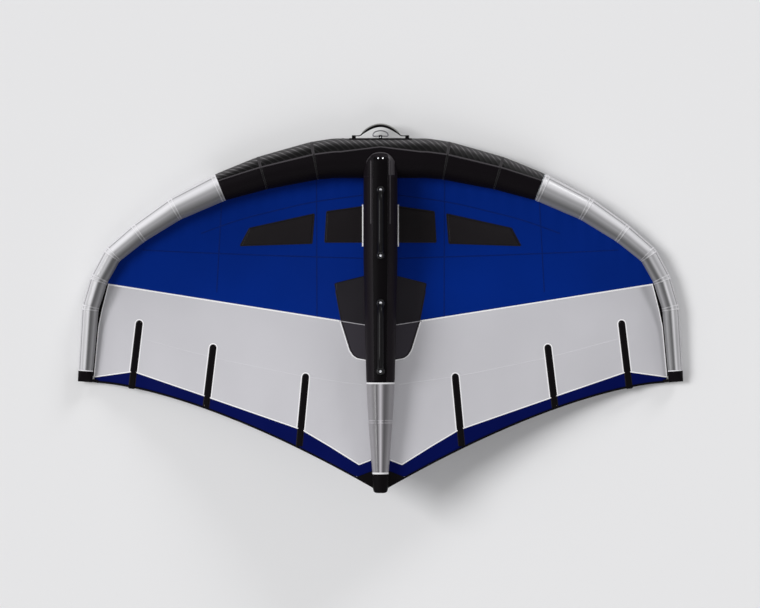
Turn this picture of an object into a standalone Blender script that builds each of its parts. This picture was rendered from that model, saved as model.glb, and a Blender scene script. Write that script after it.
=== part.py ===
"""Inflatable wingfoil wing, parked on the ground with its strut and handles up.

The leading edge tube lies along X with its nose towards +Y, the strut runs back along -Y, and
the canopy hangs between them. The wing stands on the middle of its leading edge and on both
wing tips. Every length is in metres.
"""

import math

import bmesh
import bpy
import numpy as np
from mathutils import Matrix, Vector

# Overall sizes
HALF_SPAN = 1.650
ROOT_CHORD = 1.818
LE_RADIUS = 0.109
LE_ARCH = 0.016
STRUT_RADIUS = 0.0935
STRUT_OFFSET = 0.052
STRUT_RISE = 0.134
TAIL_RISE = 0.126

# Cloth, bladders and the clearances between them
CASING_WALL = 0.0010
BLADDER_WALL = 0.0007
CLOTH = 0.0010
FILM = 0.0007
PATCH_CLOTH = 0.0008
SEAM_GAP = 0.0004
FIT_GAP = 0.0003
CUT_OVERRUN = 0.020

# Facets round a tube
LE_SIDES = 24
STRUT_SIDES = 20

# Rings of the right half of the leading edge: place along the half span, place back along the
# root chord, radius, and height of the arch off the ground
LE_RING_SHARES = [
    (0.1510, 0.0000, 1.000, 0.0),
    (0.2175, 0.0072, 0.970, 0.0),
    (0.3900, 0.0444, 0.855, 0.5),
    (0.5290, 0.0867, 0.713, 0.9),
    (0.6800, 0.1521, 0.605, 1.0),
    (0.8000, 0.2247, 0.520, 0.9),
    (0.8860, 0.2895, 0.475, 0.7),
    (0.9316, 0.3639, 0.450, 0.3),
    (0.9607, 0.4500, 0.430, 0.0),
    (0.9759, 0.6412, 0.370, 0.0),
]
RINGS_A_SIDE = len(LE_RING_SHARES)

# Casing panels of one half, as ring numbers of the right half
MID_PANEL = (1, 3)
OUTER_PANEL = (3, 7)
TIP_PANEL = (7, 9)

# Wing tip cap: its end along the root chord, and how flat its two rings are
TIP_CAP_END_SHARE = 0.6712
TIP_CAP_MID_SHARE = 0.50
TIP_CAP_FLAT_SHARES = (0.72, 0.22)

# Strut rings: place back along the root chord, and radius
NOSE_RING_SHARES = [(-0.0170, 0.735), (-0.0100, 0.860), (0.0102, 1.0), (0.0550, 1.0)]
BLACK_RING_SHARES = [(0.0550, 1.0), (0.3111, 1.0), (0.6712, 0.834)]
GREY_RING_SHARES = [(0.6712, 0.834), (0.7882, 0.706), (0.9442, 0.470)]
TAIL_RING_SHARES = [(0.9442, 0.470), (0.9880, 0.435), (0.9970, 0.380), (1.0000, 0.270)]
STRUT_PROFILE_SHARES = [(0.0550, 1.0), (0.3111, 1.0), (0.6712, 0.834), (0.7882, 0.706),
                        (0.9442, 0.470), (1.0000, 0.417)]
STRUT_KINK_SHARE = 0.6712
TOP_PANEL_FACETS = 3
TOP_PANEL_CLOTH = 0.0012

# Canopy: the tube's ridge that it is sewn to, its trailing edge and its depth
ATTACH_VERTEX = 14
TRAILING_TIP_SHARE = 0.6742
TRAILING_ROOT_SHARE = 0.9980
TRAILING_SPAN_SHARE = 0.9421
TRAILING_POWER = 1.5
TRAILING_DROP_POWER = 1.25
TIP_TRAILING_HEIGHT = 0.030
STRUT_CLEARANCE = 0.0020
CAMBER_SHARE = 0.050
CAMBER_SPREAD_SHARE = 0.35
CAMBER_FADE_POWER = 4
CAMBER_SKEW = 0.85
COLUMNS_PER_PANEL = (3, 2, 2, 2, 2, 1, 1, 1, 1, 2)
ROW_SHARES = (0.0, 0.06, 0.14, 0.24, 0.36, 0.48, 0.60, 0.72, 0.84, 0.93, 1.0)

# Canopy outlines of the right half: place along the half span and back along the root chord
SEAM_SHARES = [(0.0, 0.5060), (0.0512, 0.4984), (0.5306, 0.4300), (0.9025, 0.3765)]
ZIGZAG_SHARES = [(0.0, 0.8900), (0.0317, 0.9037), (0.0704, 0.9175), (0.1669, 0.8632),
                 (0.2572, 0.8150), (0.5750, 0.7160), (0.8177, 0.6412), (0.9504, 0.6580)]
TIP_BAND_SHARES = [(0.9025, 0.3765), (0.9240, 0.4551), (0.9355, 0.5061), (0.9504, 0.6580)]
OUTER_WINDOW_SHARES = [(0.4337, 0.2100), (0.2195, 0.1668), (0.2271, 0.2547), (0.4641, 0.2616)]
INNER_WINDOW_SHARES = [(0.1775, 0.1599), (0.0430, 0.1425), (0.0430, 0.2511), (0.1835, 0.2511)]
CENTRE_PATCH_SHARES = [(0.0, 0.3450), (0.0562, 0.3537), (0.1547, 0.3759), (0.1319, 0.4863),
                       (0.1018, 0.5758), (0.0902, 0.5932), (0.0486, 0.6034), (0.0, 0.6100)]
HEM_WIDTH = 0.011
HEM_CLOTH = 0.0016
TAIL_PATCH_WIDTH = 0.080
TAIL_PATCH_DEPTH = 0.055

# Batten pockets of the right half: head and foot, each along the span and back along the chord
BATTEN_SHARES = [((0.2463, 0.6472), (0.2678, 0.8632)),
                 ((0.5527, 0.5602), (0.5769, 0.7492)),
                 ((0.7977, 0.4881), (0.8238, 0.6922))]
POCKET_WIDTH = 0.030
POCKET_HEIGHT = 0.0048
POCKET_WALL = 0.0010
POCKET_MARGIN = 0.0045
BATTEN_END_GAP = 0.012
HEAD_POINTS = 7

# Web between the strut and the canopy
WEB_CLOTH = 0.0012
WEB_START = 0.004
WEB_END_SHARE = 0.60

# Strut handles: middle along the root chord, and distance between their bolts
FRONT_HANDLE_SHARE = 0.1948
REAR_HANDLE_SHARE = 0.5362
FRONT_HANDLE_PITCH = 0.358
REAR_HANDLE_PITCH = 0.371
GRIP_RADIUS = 0.0155
GRIP_HEIGHT = 0.068
GRIP_LEAN = math.radians(50.0)
GRIP_BEND = 0.030
GRIP_BEND_POINTS = 6
FOOT_RADIUS = 0.024
FOOT_TOP_RADIUS = 0.0185
FOOT_EDGE = 0.004
FOOT_HEIGHT = 0.018
FOOT_LIP = 0.0015
SOCKET_START = 0.0135
SOCKET_LENGTH = 0.028
DISH_RADIUS = 0.0115
DISH_FLOOR = 0.009
FOOT_STEPS = 20

# Carrying handle on the nose of the leading edge, with its leash ring
PATCH_HALF_LENGTH = 0.172
HANDLE_PATCH_CLOTH = 0.0015
STRAP_HALF_WIDTH = 0.134
STRAP_ARCH_HALF_WIDTH = 0.111
STRAP_REACH = 0.059
STRAP_ROUNDNESS = 1.0
STRAP_CLOTH = 0.009
STRAP_ROOT_DEPTH = 0.010
STRAP_GRIP_DEPTH = 0.019
STRAP_POINTS = 21
STRAP_STANDOFF = 0.0125
TAB_LENGTH = 0.022
TAB_EDGE = 0.004
UNION_BITE = 0.0008
RING_HALF_WIDTH = 0.041
RING_REACH = 0.024
RING_CORNER = 0.006
RING_ROD = 0.003
RING_STANDOFF = 0.0105
RING_CLEARANCE = 0.0004
RING_CORNER_POINTS = 4
RING_FRONT_POINTS = 13
LEASH_TAB_HALF_WIDTH = 0.009
LEASH_TAB_DEPTH = 0.0075
LEASH_TAB_WALL = 0.0030

# Inflation valve, on the facet of the leading edge that looks forward and down
VALVE_X = -0.205
VALVE_FACET = math.radians(-30.0)
VALVE_BORE = 0.0105
VALVE_NECK = 0.0140
VALVE_FLANGE = 0.0220
VALVE_FLANGE_THICKNESS = 0.0028
VALVE_RIM = 0.0062
VALVE_DEPTH = 0.016
INSERT_RECESS = 0.0030
INSERT_TOP_DROP = 0.0010
INSERT_RIM = 0.0022
INSERT_BAR = 0.0030
VALVE_CAP_WALL = 0.0022
VALVE_CAP_TOP = 0.0018
VALVE_CAP_CLEARANCE = 0.0005
VALVE_HINGE = 0.0205
HINGE_TONGUE = 0.0070
HINGE_THICKNESS = 0.0022
HINGE_LIP = 0.0022
HINGE_LIFT = 0.0030
TURNED_STEPS = 32

# Transfer tube between the two bladders
PORT_HEIGHT = 0.028
PORT_RADIUS = 0.0080
PORT_BORE = 0.0060
PORT_FRONT = 0.094
PORT_REAR = 0.136
STRUT_BLADDER_START = 0.125
STRUT_BLADDER_DOME = 0.012
STRUT_BLADDER_DOME_SHARE = 0.60
STRUT_BLADDER_END = 0.020
LE_BLADDER_END = 0.012

COLOURS = {
    "black_cloth": ((0.012, 0.012, 0.015), 0.55, 0.0),
    "grey_cloth": ((0.52, 0.52, 0.54), 0.42, 0.0),
    "blue_cloth": ((0.004, 0.022, 0.23), 0.50, 0.0),
    "navy_cloth": ((0.004, 0.014, 0.12), 0.50, 0.0),
    "white_cloth": ((0.58, 0.58, 0.60), 0.50, 0.0),
    "dark_film": ((0.020, 0.018, 0.021), 0.25, 0.0),
    "webbing": ((0.015, 0.015, 0.016), 0.80, 0.0),
    "bladder_film": ((0.75, 0.78, 0.80), 0.25, 0.0),
    "batten_rod": ((0.70, 0.70, 0.62), 0.35, 0.0),
    "handle_plastic": ((0.010, 0.010, 0.012), 0.35, 0.0),
    "handle_foam": ((0.014, 0.014, 0.015), 0.70, 0.0),
    "valve_plastic": ((0.030, 0.030, 0.034), 0.40, 0.0),
    "ring_metal": ((0.30, 0.30, 0.32), 0.30, 1.0),
}


def clear_scene():
    """Take the scene's objects away."""
    for item in list(bpy.data.objects):
        bpy.data.objects.remove(item, do_unlink=True)


def collection(name):
    """A new collection in the scene."""
    made = bpy.data.collections.new(name)
    bpy.context.scene.collection.children.link(made)
    return made


def material(name):
    """The named finish as a Principled material, made once."""
    found = bpy.data.materials.get(name)
    if found:
        return found
    colour, roughness, metallic = COLOURS[name]
    made = bpy.data.materials.new(name)
    made.use_nodes = True
    shader = made.node_tree.nodes["Principled BSDF"]
    shader.inputs["Base Color"].default_value = (*colour, 1.0)
    shader.inputs["Roughness"].default_value = roughness
    shader.inputs["Metallic"].default_value = metallic
    made.diffuse_color = (*colour, 1.0)
    return made


clear_scene()
PARTS = collection("wingfoil_wing")
CUTTERS = collection("cutters")
ROOT = bpy.data.objects.new("wing_root", None)
PARTS.objects.link(ROOT)


def add_object(name, mesh, finish):
    """A part of the wing with this mesh and finish, carried by the root empty."""
    made = bpy.data.objects.new(name, mesh)
    PARTS.objects.link(made)
    made.parent = ROOT
    mesh.materials.append(material(finish))
    mesh.shade_smooth()
    mesh.set_sharp_from_angle(angle=math.radians(40.0))
    return made


def add_cutter(name, mesh):
    """A cutter, which shows as wire only."""
    made = bpy.data.objects.new(name, mesh)
    CUTTERS.objects.link(made)
    made.parent = ROOT
    made.hide_render = True
    made.display_type = "WIRE"
    return made


def boolean(target, cutter, operation):
    """Cut or join the target by the cutter, with a modifier that stays on it."""
    step = target.modifiers.new(cutter.name, "BOOLEAN")
    step.operation = operation
    step.solver = "EXACT"
    step.object = cutter


def solidify(target, thickness, offset):
    """Give an open surface its thickness: -1 is inwards, 1 outwards."""
    step = target.modifiers.new("wall", "SOLIDIFY")
    step.thickness = thickness
    step.offset = offset
    step.use_even_offset = True


def mesh_from(name, vertices, faces, side=1):
    """A mesh from points and faces, mirrored in the wing's middle plane for side -1."""
    points = np.asarray(vertices, float) * (side, 1, 1)
    turned = [face[::side] for face in faces]
    made = bpy.data.meshes.new(name)
    made.from_pydata([tuple(p) for p in points], [], [tuple(f) for f in turned])
    made.validate()
    return made


def prism_mesh(name, outline, low, high):
    """A plan outline pulled up from one height to another."""
    form = bmesh.new()
    ring = [form.verts.new((x, y, low)) for x, y in outline]
    face = form.faces.new(ring)
    raised = bmesh.ops.extrude_face_region(form, geom=[face])
    lifted = [v for v in raised["geom"] if isinstance(v, bmesh.types.BMVert)]
    bmesh.ops.translate(form, vec=(0, 0, high - low), verts=lifted)
    bmesh.ops.recalc_face_normals(form, faces=form.faces)
    made = bpy.data.meshes.new(name)
    form.to_mesh(made)
    form.free()
    return made


def box_mesh(name, low, high):
    """A box between two corners."""
    form = bmesh.new()
    bmesh.ops.create_cube(form, size=1.0)
    size = Vector(high) - Vector(low)
    middle = (Vector(high) + Vector(low)) / 2
    bmesh.ops.scale(form, vec=size, verts=form.verts)
    bmesh.ops.translate(form, vec=middle, verts=form.verts)
    made = bpy.data.meshes.new(name)
    form.to_mesh(made)
    form.free()
    return made


def cylinder_mesh(name, radius, start, end, steps=TURNED_STEPS):
    """A closed cylinder between two points."""
    form = bmesh.new()
    axis = Vector(end) - Vector(start)
    turn = axis.to_track_quat("Z", "Y").to_matrix().to_4x4()
    place = Matrix.Translation((Vector(start) + Vector(end)) / 2) @ turn
    bmesh.ops.create_cone(form, cap_ends=True, segments=steps, radius1=radius, radius2=radius,
                          depth=axis.length, matrix=place)
    made = bpy.data.meshes.new(name)
    form.to_mesh(made)
    form.free()
    return made


def turned_object(name, profile, finish, steps=TURNED_STEPS, closed=True):
    """A profile at +X turned about Z with a Screw modifier."""
    made = bpy.data.meshes.new(name)
    points = [(r, 0, h) for r, h in profile]
    last = len(points) - 1
    edges = [(i, i + 1) for i in range(last)]
    if closed:
        edges.append((last, 0))
    made.from_pydata(points, edges, [])
    turned = add_object(name, made, finish)
    step = turned.modifiers.new("turn", "SCREW")
    step.steps = steps
    step.render_steps = steps
    step.use_merge_vertices = True
    step.merge_threshold = 0.0001
    step.use_smooth_shade = True
    return turned


def loft(rings, closed_ring=True, cap_start=False, cap_end=False):
    """Points and outward faces of a surface through rings that have the same number of points."""
    count = len(rings[0])
    points = np.concatenate(rings)
    faces = []
    span = count if closed_ring else count - 1
    for i in range(len(rings) - 1):
        for k in range(span):
            a = i * count + k
            b = i * count + (k + 1) % count
            faces.append((a, b, b + count, a + count))
    if cap_start:
        faces.append(tuple(range(count))[::-1])
    if cap_end:
        first = (len(rings) - 1) * count
        faces.append(tuple(range(first, first + count)))
    return points, faces


def le_centres():
    """Centres of the leading edge rings from the left tip to the right, and their radii."""
    apothem_share = math.cos(math.pi / LE_SIDES)
    right = []
    for x, y, r, arch in LE_RING_SHARES:
        radius = r * LE_RADIUS
        height = radius * apothem_share + arch * LE_ARCH
        right.append((x * HALF_SPAN, -y * ROOT_CHORD, height, radius))
    left = [(-x, y, z, r) for x, y, z, r in reversed(right)]
    table = np.array(left + right)
    return table[:, :3], table[:, 3]


def le_normals(centres):
    """Level outward direction at each ring, and how much its mitre stretches the ring."""
    run = np.diff(centres[:, :2], axis=0)
    run /= np.linalg.norm(run, axis=1)[:, None]
    side = np.stack([-run[:, 1], run[:, 0]], axis=1)
    joined = np.concatenate([side[:1], side[:-1] + side[1:], side[-1:]])
    joined /= np.linalg.norm(joined, axis=1)[:, None]
    before = np.concatenate([side[:1], side])
    stretch = 1 / (joined * before).sum(axis=1)
    return joined, stretch


LE_CENTRES, LE_RADII = le_centres()
LE_NORMALS, LE_STRETCH = le_normals(LE_CENTRES)
LE_AXIS_HEIGHT = LE_CENTRES[RINGS_A_SIDE][2]


def le_ring(index, grow=0.0, flat=1.0):
    """Points of one leading edge ring, its facets moved out by grow."""
    angles = (np.arange(LE_SIDES) + 0.5) * 2 * math.pi / LE_SIDES
    radius = LE_RADII[index] + grow / math.cos(math.pi / LE_SIDES)
    out = LE_NORMALS[index] * LE_STRETCH[index]
    ring = np.zeros((LE_SIDES, 3))
    ring[:, :2] = np.outer(np.cos(angles) * radius, out)
    ring[:, 2] = np.sin(angles) * radius * flat
    return LE_CENTRES[index] + ring


def toward(first, second, distance):
    """A ring moved from the first towards the second by this distance along each edge."""
    step = second - first
    length = np.linalg.norm(step, axis=1)[:, None]
    return first + step / length * distance


def trimmed(rings, start, end):
    """The same rings with both end rings drawn in."""
    made = list(rings)
    made[0] = toward(rings[0], rings[1], start)
    made[-1] = toward(rings[-1], rings[-2], end)
    return made


def right_ring(number):
    """Full ring number of a ring of the right half."""
    return RINGS_A_SIDE + number


def le_casing(name, first, last, finish, side=1):
    """One casing panel of the leading edge between two joint rings, open at both ends."""
    rings = trimmed([le_ring(i) for i in range(first, last + 1)], SEAM_GAP / 2, SEAM_GAP / 2)
    points, faces = loft(rings)
    casing = add_object(name, mesh_from(name, points, faces, side), finish)
    solidify(casing, CASING_WALL, -1)
    return casing


def side_name(base, side):
    """The name of a part on one side of the wing."""
    return base + ("_right" if side > 0 else "_left")


def leading_edge():
    """Casing panels of the whole leading edge, and its centre panel with the valve's hole."""
    centre = le_casing("le_casing_center", right_ring(-2), right_ring(1), "black_cloth")
    for side in (1, -1):
        for base, (first, last), finish in (("le_casing_mid", MID_PANEL, "black_cloth"),
                                            ("le_casing_outer", OUTER_PANEL, "grey_cloth"),
                                            ("le_casing_tip", TIP_PANEL, "grey_cloth")):
            le_casing(side_name(base, side), right_ring(first), right_ring(last), finish, side)
        wingtip_cap(side)
    return centre


def wingtip_cap(side):
    """Cap that closes a wing tip, pinched flat towards its end."""
    last = 2 * RINGS_A_SIDE - 1
    start = le_ring(last)
    length = TIP_CAP_END_SHARE * ROOT_CHORD + LE_CENTRES[last][1]
    run = LE_CENTRES[last] - LE_CENTRES[last - 1]
    run[2] = 0
    run /= np.linalg.norm(run)
    middle = le_ring(last, flat=TIP_CAP_FLAT_SHARES[0]) + run * length * TIP_CAP_MID_SHARE
    end = le_ring(last, flat=TIP_CAP_FLAT_SHARES[1]) + run * length
    begin = toward(start, middle, SEAM_GAP / 2)
    points, faces = loft([begin, middle, end], cap_end=True)
    name = side_name("wingtip_cap", side)
    cap = add_object(name, mesh_from(name, points, faces, side), "black_cloth")
    solidify(cap, CASING_WALL, -1)


def le_bladder():
    """Air bladder that fills the whole leading edge casing."""
    inset = -(CASING_WALL + FIT_GAP)
    rings = [le_ring(i, inset) for i in range(2 * RINGS_A_SIDE)]
    rings = trimmed(rings, LE_BLADDER_END, LE_BLADDER_END)
    points, faces = loft(rings, cap_start=True, cap_end=True)
    bladder = add_object("le_bladder", mesh_from("le_bladder", points, faces), "bladder_film")
    solidify(bladder, BLADDER_WALL, -1)
    return bladder


def strut_axis_height(back):
    """Height of the strut's axis at a distance behind the leading edge's axis."""
    kink = STRUT_KINK_SHARE * ROOT_CHORD
    start = LE_AXIS_HEIGHT + STRUT_OFFSET
    if back < kink:
        return start + STRUT_RISE * back / kink
    return start + STRUT_RISE + TAIL_RISE * (back - kink) / (ROOT_CHORD - kink)


def strut_radius(back):
    """Radius of the strut at a distance behind the leading edge's axis."""
    places = [y * ROOT_CHORD for y, r in STRUT_PROFILE_SHARES]
    sizes = [r * STRUT_RADIUS for y, r in STRUT_PROFILE_SHARES]
    return float(np.interp(back, places, sizes))


def strut_bottom(back):
    """Height of the strut's flat underside."""
    return strut_axis_height(back) - strut_radius(back) * math.cos(math.pi / STRUT_SIDES)


def strut_ring(back, radius, grow=0.0):
    """Upright ring of the strut, its facets moved out by grow."""
    angles = (np.arange(STRUT_SIDES) + 0.5) * 2 * math.pi / STRUT_SIDES
    size = radius + grow / math.cos(math.pi / STRUT_SIDES)
    ring = np.zeros((STRUT_SIDES, 3))
    ring[:, 0] = np.cos(angles) * size
    ring[:, 1] = -back
    ring[:, 2] = np.sin(angles) * size + strut_axis_height(back)
    return ring


def strut_rings(shares, grow=0.0):
    """Rings of a stretch of the strut."""
    return [strut_ring(y * ROOT_CHORD, r * STRUT_RADIUS, grow) for y, r in shares]


def strut_casing(name, shares, finish, cap_start=False, cap_end=False):
    """One casing panel of the strut."""
    start = 0.0 if cap_start else SEAM_GAP / 2
    end = 0.0 if cap_end else SEAM_GAP / 2
    rings = trimmed(strut_rings(shares), start, end)
    points, faces = loft(rings, cap_start=cap_start, cap_end=cap_end)
    casing = add_object(name, mesh_from(name, points, faces), finish)
    solidify(casing, CASING_WALL, -1)
    return casing


def strut():
    """Casing panels of the strut. The front two are cut to sit over the leading edge."""
    points, faces = loft([le_ring(i, SEAM_GAP) for i in range(right_ring(-2), right_ring(2))],
                         cap_start=True, cap_end=True)
    saddle = add_cutter("saddle_cutter", mesh_from("saddle_cutter", points, faces))
    nose = strut_casing("strut_nose", NOSE_RING_SHARES, "black_cloth", cap_start=True)
    black = strut_casing("strut_casing_black", BLACK_RING_SHARES, "black_cloth")
    boolean(nose, saddle, "DIFFERENCE")
    boolean(black, saddle, "DIFFERENCE")
    strut_casing("strut_casing_grey", GREY_RING_SHARES, "grey_cloth")
    strut_casing("strut_tail_cap", TAIL_RING_SHARES, "black_cloth", cap_end=True)


def strut_top_panel():
    """Reinforcement strip along the top facets, which the handles stand on."""
    middle = STRUT_SIDES // 4
    reach = TOP_PANEL_FACETS // 2
    first = middle - reach - 1
    last = middle + reach
    shares = [NOSE_RING_SHARES[2]] + BLACK_RING_SHARES[1:]
    rings = strut_rings(shares, FIT_GAP)
    rings = trimmed([r[first:last + 1] for r in rings], SEAM_GAP, SEAM_GAP)
    points, faces = loft(rings, closed_ring=False)
    panel = add_object("strut_top_panel", mesh_from("strut_top_panel", points, faces),
                       "black_cloth")
    solidify(panel, TOP_PANEL_CLOTH, 1)


def strut_bladder():
    """Air bladder inside the strut, with a domed front end behind the leading edge."""
    inset = -(CASING_WALL + FIT_GAP)
    front = STRUT_BLADDER_START
    full = front + STRUT_BLADDER_DOME
    end = GREY_RING_SHARES[-1][0] * ROOT_CHORD - STRUT_BLADDER_END
    backs = [y * ROOT_CHORD for y, r in BLACK_RING_SHARES[1:] + GREY_RING_SHARES[1:-1]]
    rings = [strut_ring(front, strut_radius(front) * STRUT_BLADDER_DOME_SHARE, inset)]
    rings += [strut_ring(b, strut_radius(b), inset) for b in [full] + backs + [end]]
    points, faces = loft(rings, cap_start=True, cap_end=True)
    bladder = add_object("strut_bladder", mesh_from("strut_bladder", points, faces),
                         "bladder_film")
    solidify(bladder, BLADDER_WALL, -1)
    return bladder


def transfer_tube(casing, bladder, other):
    """Tube that lets air from the leading edge bladder into the strut bladder."""
    height = LE_AXIS_HEIGHT + PORT_HEIGHT
    hole = add_cutter("port_cutter", cylinder_mesh(
        "port_cutter", PORT_RADIUS + FIT_GAP, (0, -(PORT_FRONT - PORT_RADIUS), height),
        (0, -(PORT_REAR + PORT_RADIUS), height), FOOT_STEPS))
    for target in (casing, bladder, other):
        boolean(target, hole, "DIFFERENCE")
    length = PORT_REAR - PORT_FRONT
    profile = [(PORT_BORE, length), (PORT_RADIUS, length), (PORT_RADIUS, 0), (PORT_BORE, 0)]
    tube = turned_object("transfer_tube", profile, "bladder_film", FOOT_STEPS)
    tube.location = (0, -PORT_FRONT, height)
    tube.rotation_euler = (math.radians(90.0), 0, 0)


def attach_points():
    """Points of the canopy's front edge on the tube's ridge, from the middle to the tip."""
    rings = [le_ring(right_ring(i), SEAM_GAP)[ATTACH_VERTEX] for i in range(RINGS_A_SIDE)]
    middle = rings[0] * (0, 1, 1)
    corners = [middle] + rings
    points = []
    for (start, end), count in zip(zip(corners, corners[1:]), COLUMNS_PER_PANEL):
        for step in range(count):
            points.append(start + (end - start) * step / count)
    points.append(corners[-1])
    return np.array(points)


def trailing_back(along):
    """Distance of the trailing edge behind the leading edge's axis, at a place along the span."""
    share = np.clip(1 - along / (TRAILING_SPAN_SHARE * HALF_SPAN), 0, 1)
    spread = TRAILING_ROOT_SHARE - TRAILING_TIP_SHARE
    return ROOT_CHORD * (TRAILING_TIP_SHARE + spread * share ** TRAILING_POWER)


def canopy_grid(overhang=0.0):
    """Grid of points of the right half's upper face: one column for each attach point."""
    front = attach_points()
    out = front[:, 0] / front[-1, 0]
    rear = np.zeros_like(front)
    rear[:, 0] = front[:, 0] * TRAILING_SPAN_SHARE * HALF_SPAN / front[-1, 0]
    rear[:, 1] = -trailing_back(rear[:, 0])
    root_height = strut_bottom(-rear[0, 1]) - STRUT_CLEARANCE
    drop = (1 - out) ** TRAILING_DROP_POWER
    rear[:, 2] = TIP_TRAILING_HEIGHT + (root_height - TIP_TRAILING_HEIGHT) * drop
    chord = np.linalg.norm(front - rear, axis=1)
    rows = np.array(ROW_SHARES)
    if overhang:
        rows = np.append(rows, 1 + overhang / ROOT_CHORD)
    bulge = np.sin(math.pi * np.clip(rows, 0, 1) ** CAMBER_SKEW)
    depth = canopy_depth(front[0], rear[0], out) * chord
    grid = front[:, None] + (rear - front)[:, None] * rows[None, :, None]
    grid[:, :, 2] -= depth[:, None] * bulge[None, :]
    return grid


def canopy_depth(front, rear, out):
    """Depth of the canopy over its chord: touching the strut's kink in the middle, deeper
    between strut and tip, and flat at the tip."""
    kink = STRUT_KINK_SHARE * ROOT_CHORD
    place = (kink + front[1]) / (front[1] - rear[1])
    line = front[2] + (rear[2] - front[2]) * place
    gap = line - (strut_bottom(kink) - STRUT_CLEARANCE)
    chord = np.linalg.norm(front - rear)
    middle = gap / math.sin(math.pi * place ** CAMBER_SKEW) / chord
    blend = np.clip(out / CAMBER_SPREAD_SHARE, 0, 1)
    blend = blend * blend * (3 - 2 * blend)
    fade = 1 - out ** CAMBER_FADE_POWER
    return (middle + (CAMBER_SHARE - middle) * blend) * fade


def slab_mesh(name, lift, thickness, side, overhang=0.0):
    """Closed sheet that follows the canopy: its top is lift above the canopy's upper face."""
    grid = canopy_grid(overhang)
    columns, rows = grid.shape[:2]
    top = grid.reshape(-1, 3) + (0, 0, lift)
    faces = []
    for i in range(columns - 1):
        for j in range(rows - 1):
            a = i * rows + j
            faces.append((a, a + 1, a + rows))
            faces.append((a + 1, a + rows + 1, a + rows))
    sheet = mesh_from(name, top, faces, side)
    form = bmesh.new()
    form.from_mesh(sheet)
    grown = bmesh.ops.extrude_face_region(form, geom=list(form.faces))
    moved = [v for v in grown["geom"] if isinstance(v, bmesh.types.BMVert)]
    bmesh.ops.translate(form, vec=(0, 0, -thickness), verts=moved)
    bmesh.ops.recalc_face_normals(form, faces=form.faces)
    form.to_mesh(sheet)
    form.free()
    return sheet


def plan(shares):
    """Plan points from shares of the half span and the root chord."""
    return [Vector((x * HALF_SPAN, -y * ROOT_CHORD)) for x, y in shares]


def signed_area(outline):
    """Area of a plan outline, positive where it runs anticlockwise."""
    pairs = zip(outline, outline[1:] + outline[:1])
    return sum(a.x * b.y - b.x * a.y for a, b in pairs) / 2


def inset(outline, distance):
    """An outline with each side moved inwards, and its corners mitred."""
    points = list(outline)
    if signed_area(points) < 0:
        points.reverse()
    made = []
    count = len(points)
    for i, point in enumerate(points):
        before = (point - points[i - 1]).normalized()
        after = (points[(i + 1) % count] - point).normalized()
        inward = Vector((-before.y, before.x)) + Vector((-after.y, after.x))
        inward /= 1 + before.dot(after)
        made.append(point + inward * distance)
    return made


def mirrored(outline, side):
    """The outline on one side of the wing."""
    return [(p[0] * side, p[1]) for p in outline]


def canopy_piece(base, outline, finish, side, lift=0.0, thickness=CLOTH):
    """A sheet of the canopy inside a plan outline."""
    name = side_name(base, side)
    piece = add_object(name, slab_mesh(name, lift, thickness, side), finish)
    shape = prism_mesh(name + "_outline", mirrored(outline, side), -HALF_SPAN, HALF_SPAN)
    boolean(piece, add_cutter(name + "_outline", shape), "INTERSECT")
    return piece


def window(base, shares, blue, side):
    """A film window, and its opening in the blue panel."""
    outline = plan(shares)
    name = side_name(base, side)
    canopy_piece(base, inset(outline, SEAM_GAP), "dark_film", side, thickness=FILM)
    shape = prism_mesh(name + "_opening", mirrored(outline, side), -HALF_SPAN, HALF_SPAN)
    boolean(blue, add_cutter(name + "_opening", shape), "DIFFERENCE")


def hem_line():
    """Inner edge of the trailing edge hem, from the wing tip to the strut."""
    grid = canopy_grid()
    places = grid[::-1, -1, 0]
    line = [Vector((x, -trailing_back(x) + HEM_WIDTH)) for x in places if x > TAIL_PATCH_WIDTH]
    edge = TAIL_PATCH_WIDTH
    line.append(Vector((edge, -trailing_back(edge) + HEM_WIDTH)))
    line.append(Vector((0, -trailing_back(0) + TAIL_PATCH_DEPTH)))
    return line


def canopy(side):
    """Panels of one half of the canopy, edge to edge."""
    far = Vector((HALF_SPAN + CUT_OVERRUN, 0))
    ahead = Vector((0, LE_RADIUS))
    behind = Vector((0, -ROOT_CHORD - CUT_OVERRUN))
    middle = -SEAM_GAP / 2
    seam = plan(SEAM_SHARES)
    band = plan(TIP_BAND_SHARES)
    zigzag = plan(ZIGZAG_SHARES)
    hem = hem_line()
    beyond = Vector((far.x, band[0].y))
    blue_edge = [ahead, far + ahead, beyond] + seam[::-1]
    blue = canopy_piece("canopy_blue", inset(blue_edge, -middle), "blue_cloth", side)
    window("window_inner", INNER_WINDOW_SHARES, blue, side)
    window("window_outer", OUTER_WINDOW_SHARES, blue, side)
    white_edge = seam[:-1] + band + zigzag[-2::-1]
    canopy_piece("canopy_white", inset(white_edge, -middle), "white_cloth", side)
    tip_foot = Vector((band[-1].x, hem[0].y))
    outside = Vector((far.x, hem[0].y))
    band_edge = [beyond] + band + [tip_foot, outside]
    canopy_piece("tip_band", inset(band_edge, -middle), "black_cloth", side)
    trailing_edge = zigzag + [tip_foot] + [p for p in hem if p.x < tip_foot.x]
    canopy_piece("trailing_band", inset(trailing_edge, -middle), "navy_cloth", side)
    hem_edge = [outside] + [p for p in hem if p.x < outside.x] + [behind, far + behind]
    canopy_piece("trailing_hem", inset(hem_edge, -middle), "webbing", side,
                 thickness=HEM_CLOTH)
    patch = [p + Vector(((WEB_CLOTH / 2 + SEAM_GAP) if p.x == 0 else 0, 0))
             for p in plan(CENTRE_PATCH_SHARES)]
    canopy_piece("centre_patch", patch, "dark_film", side, FIT_GAP + PATCH_CLOTH, PATCH_CLOTH)


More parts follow.
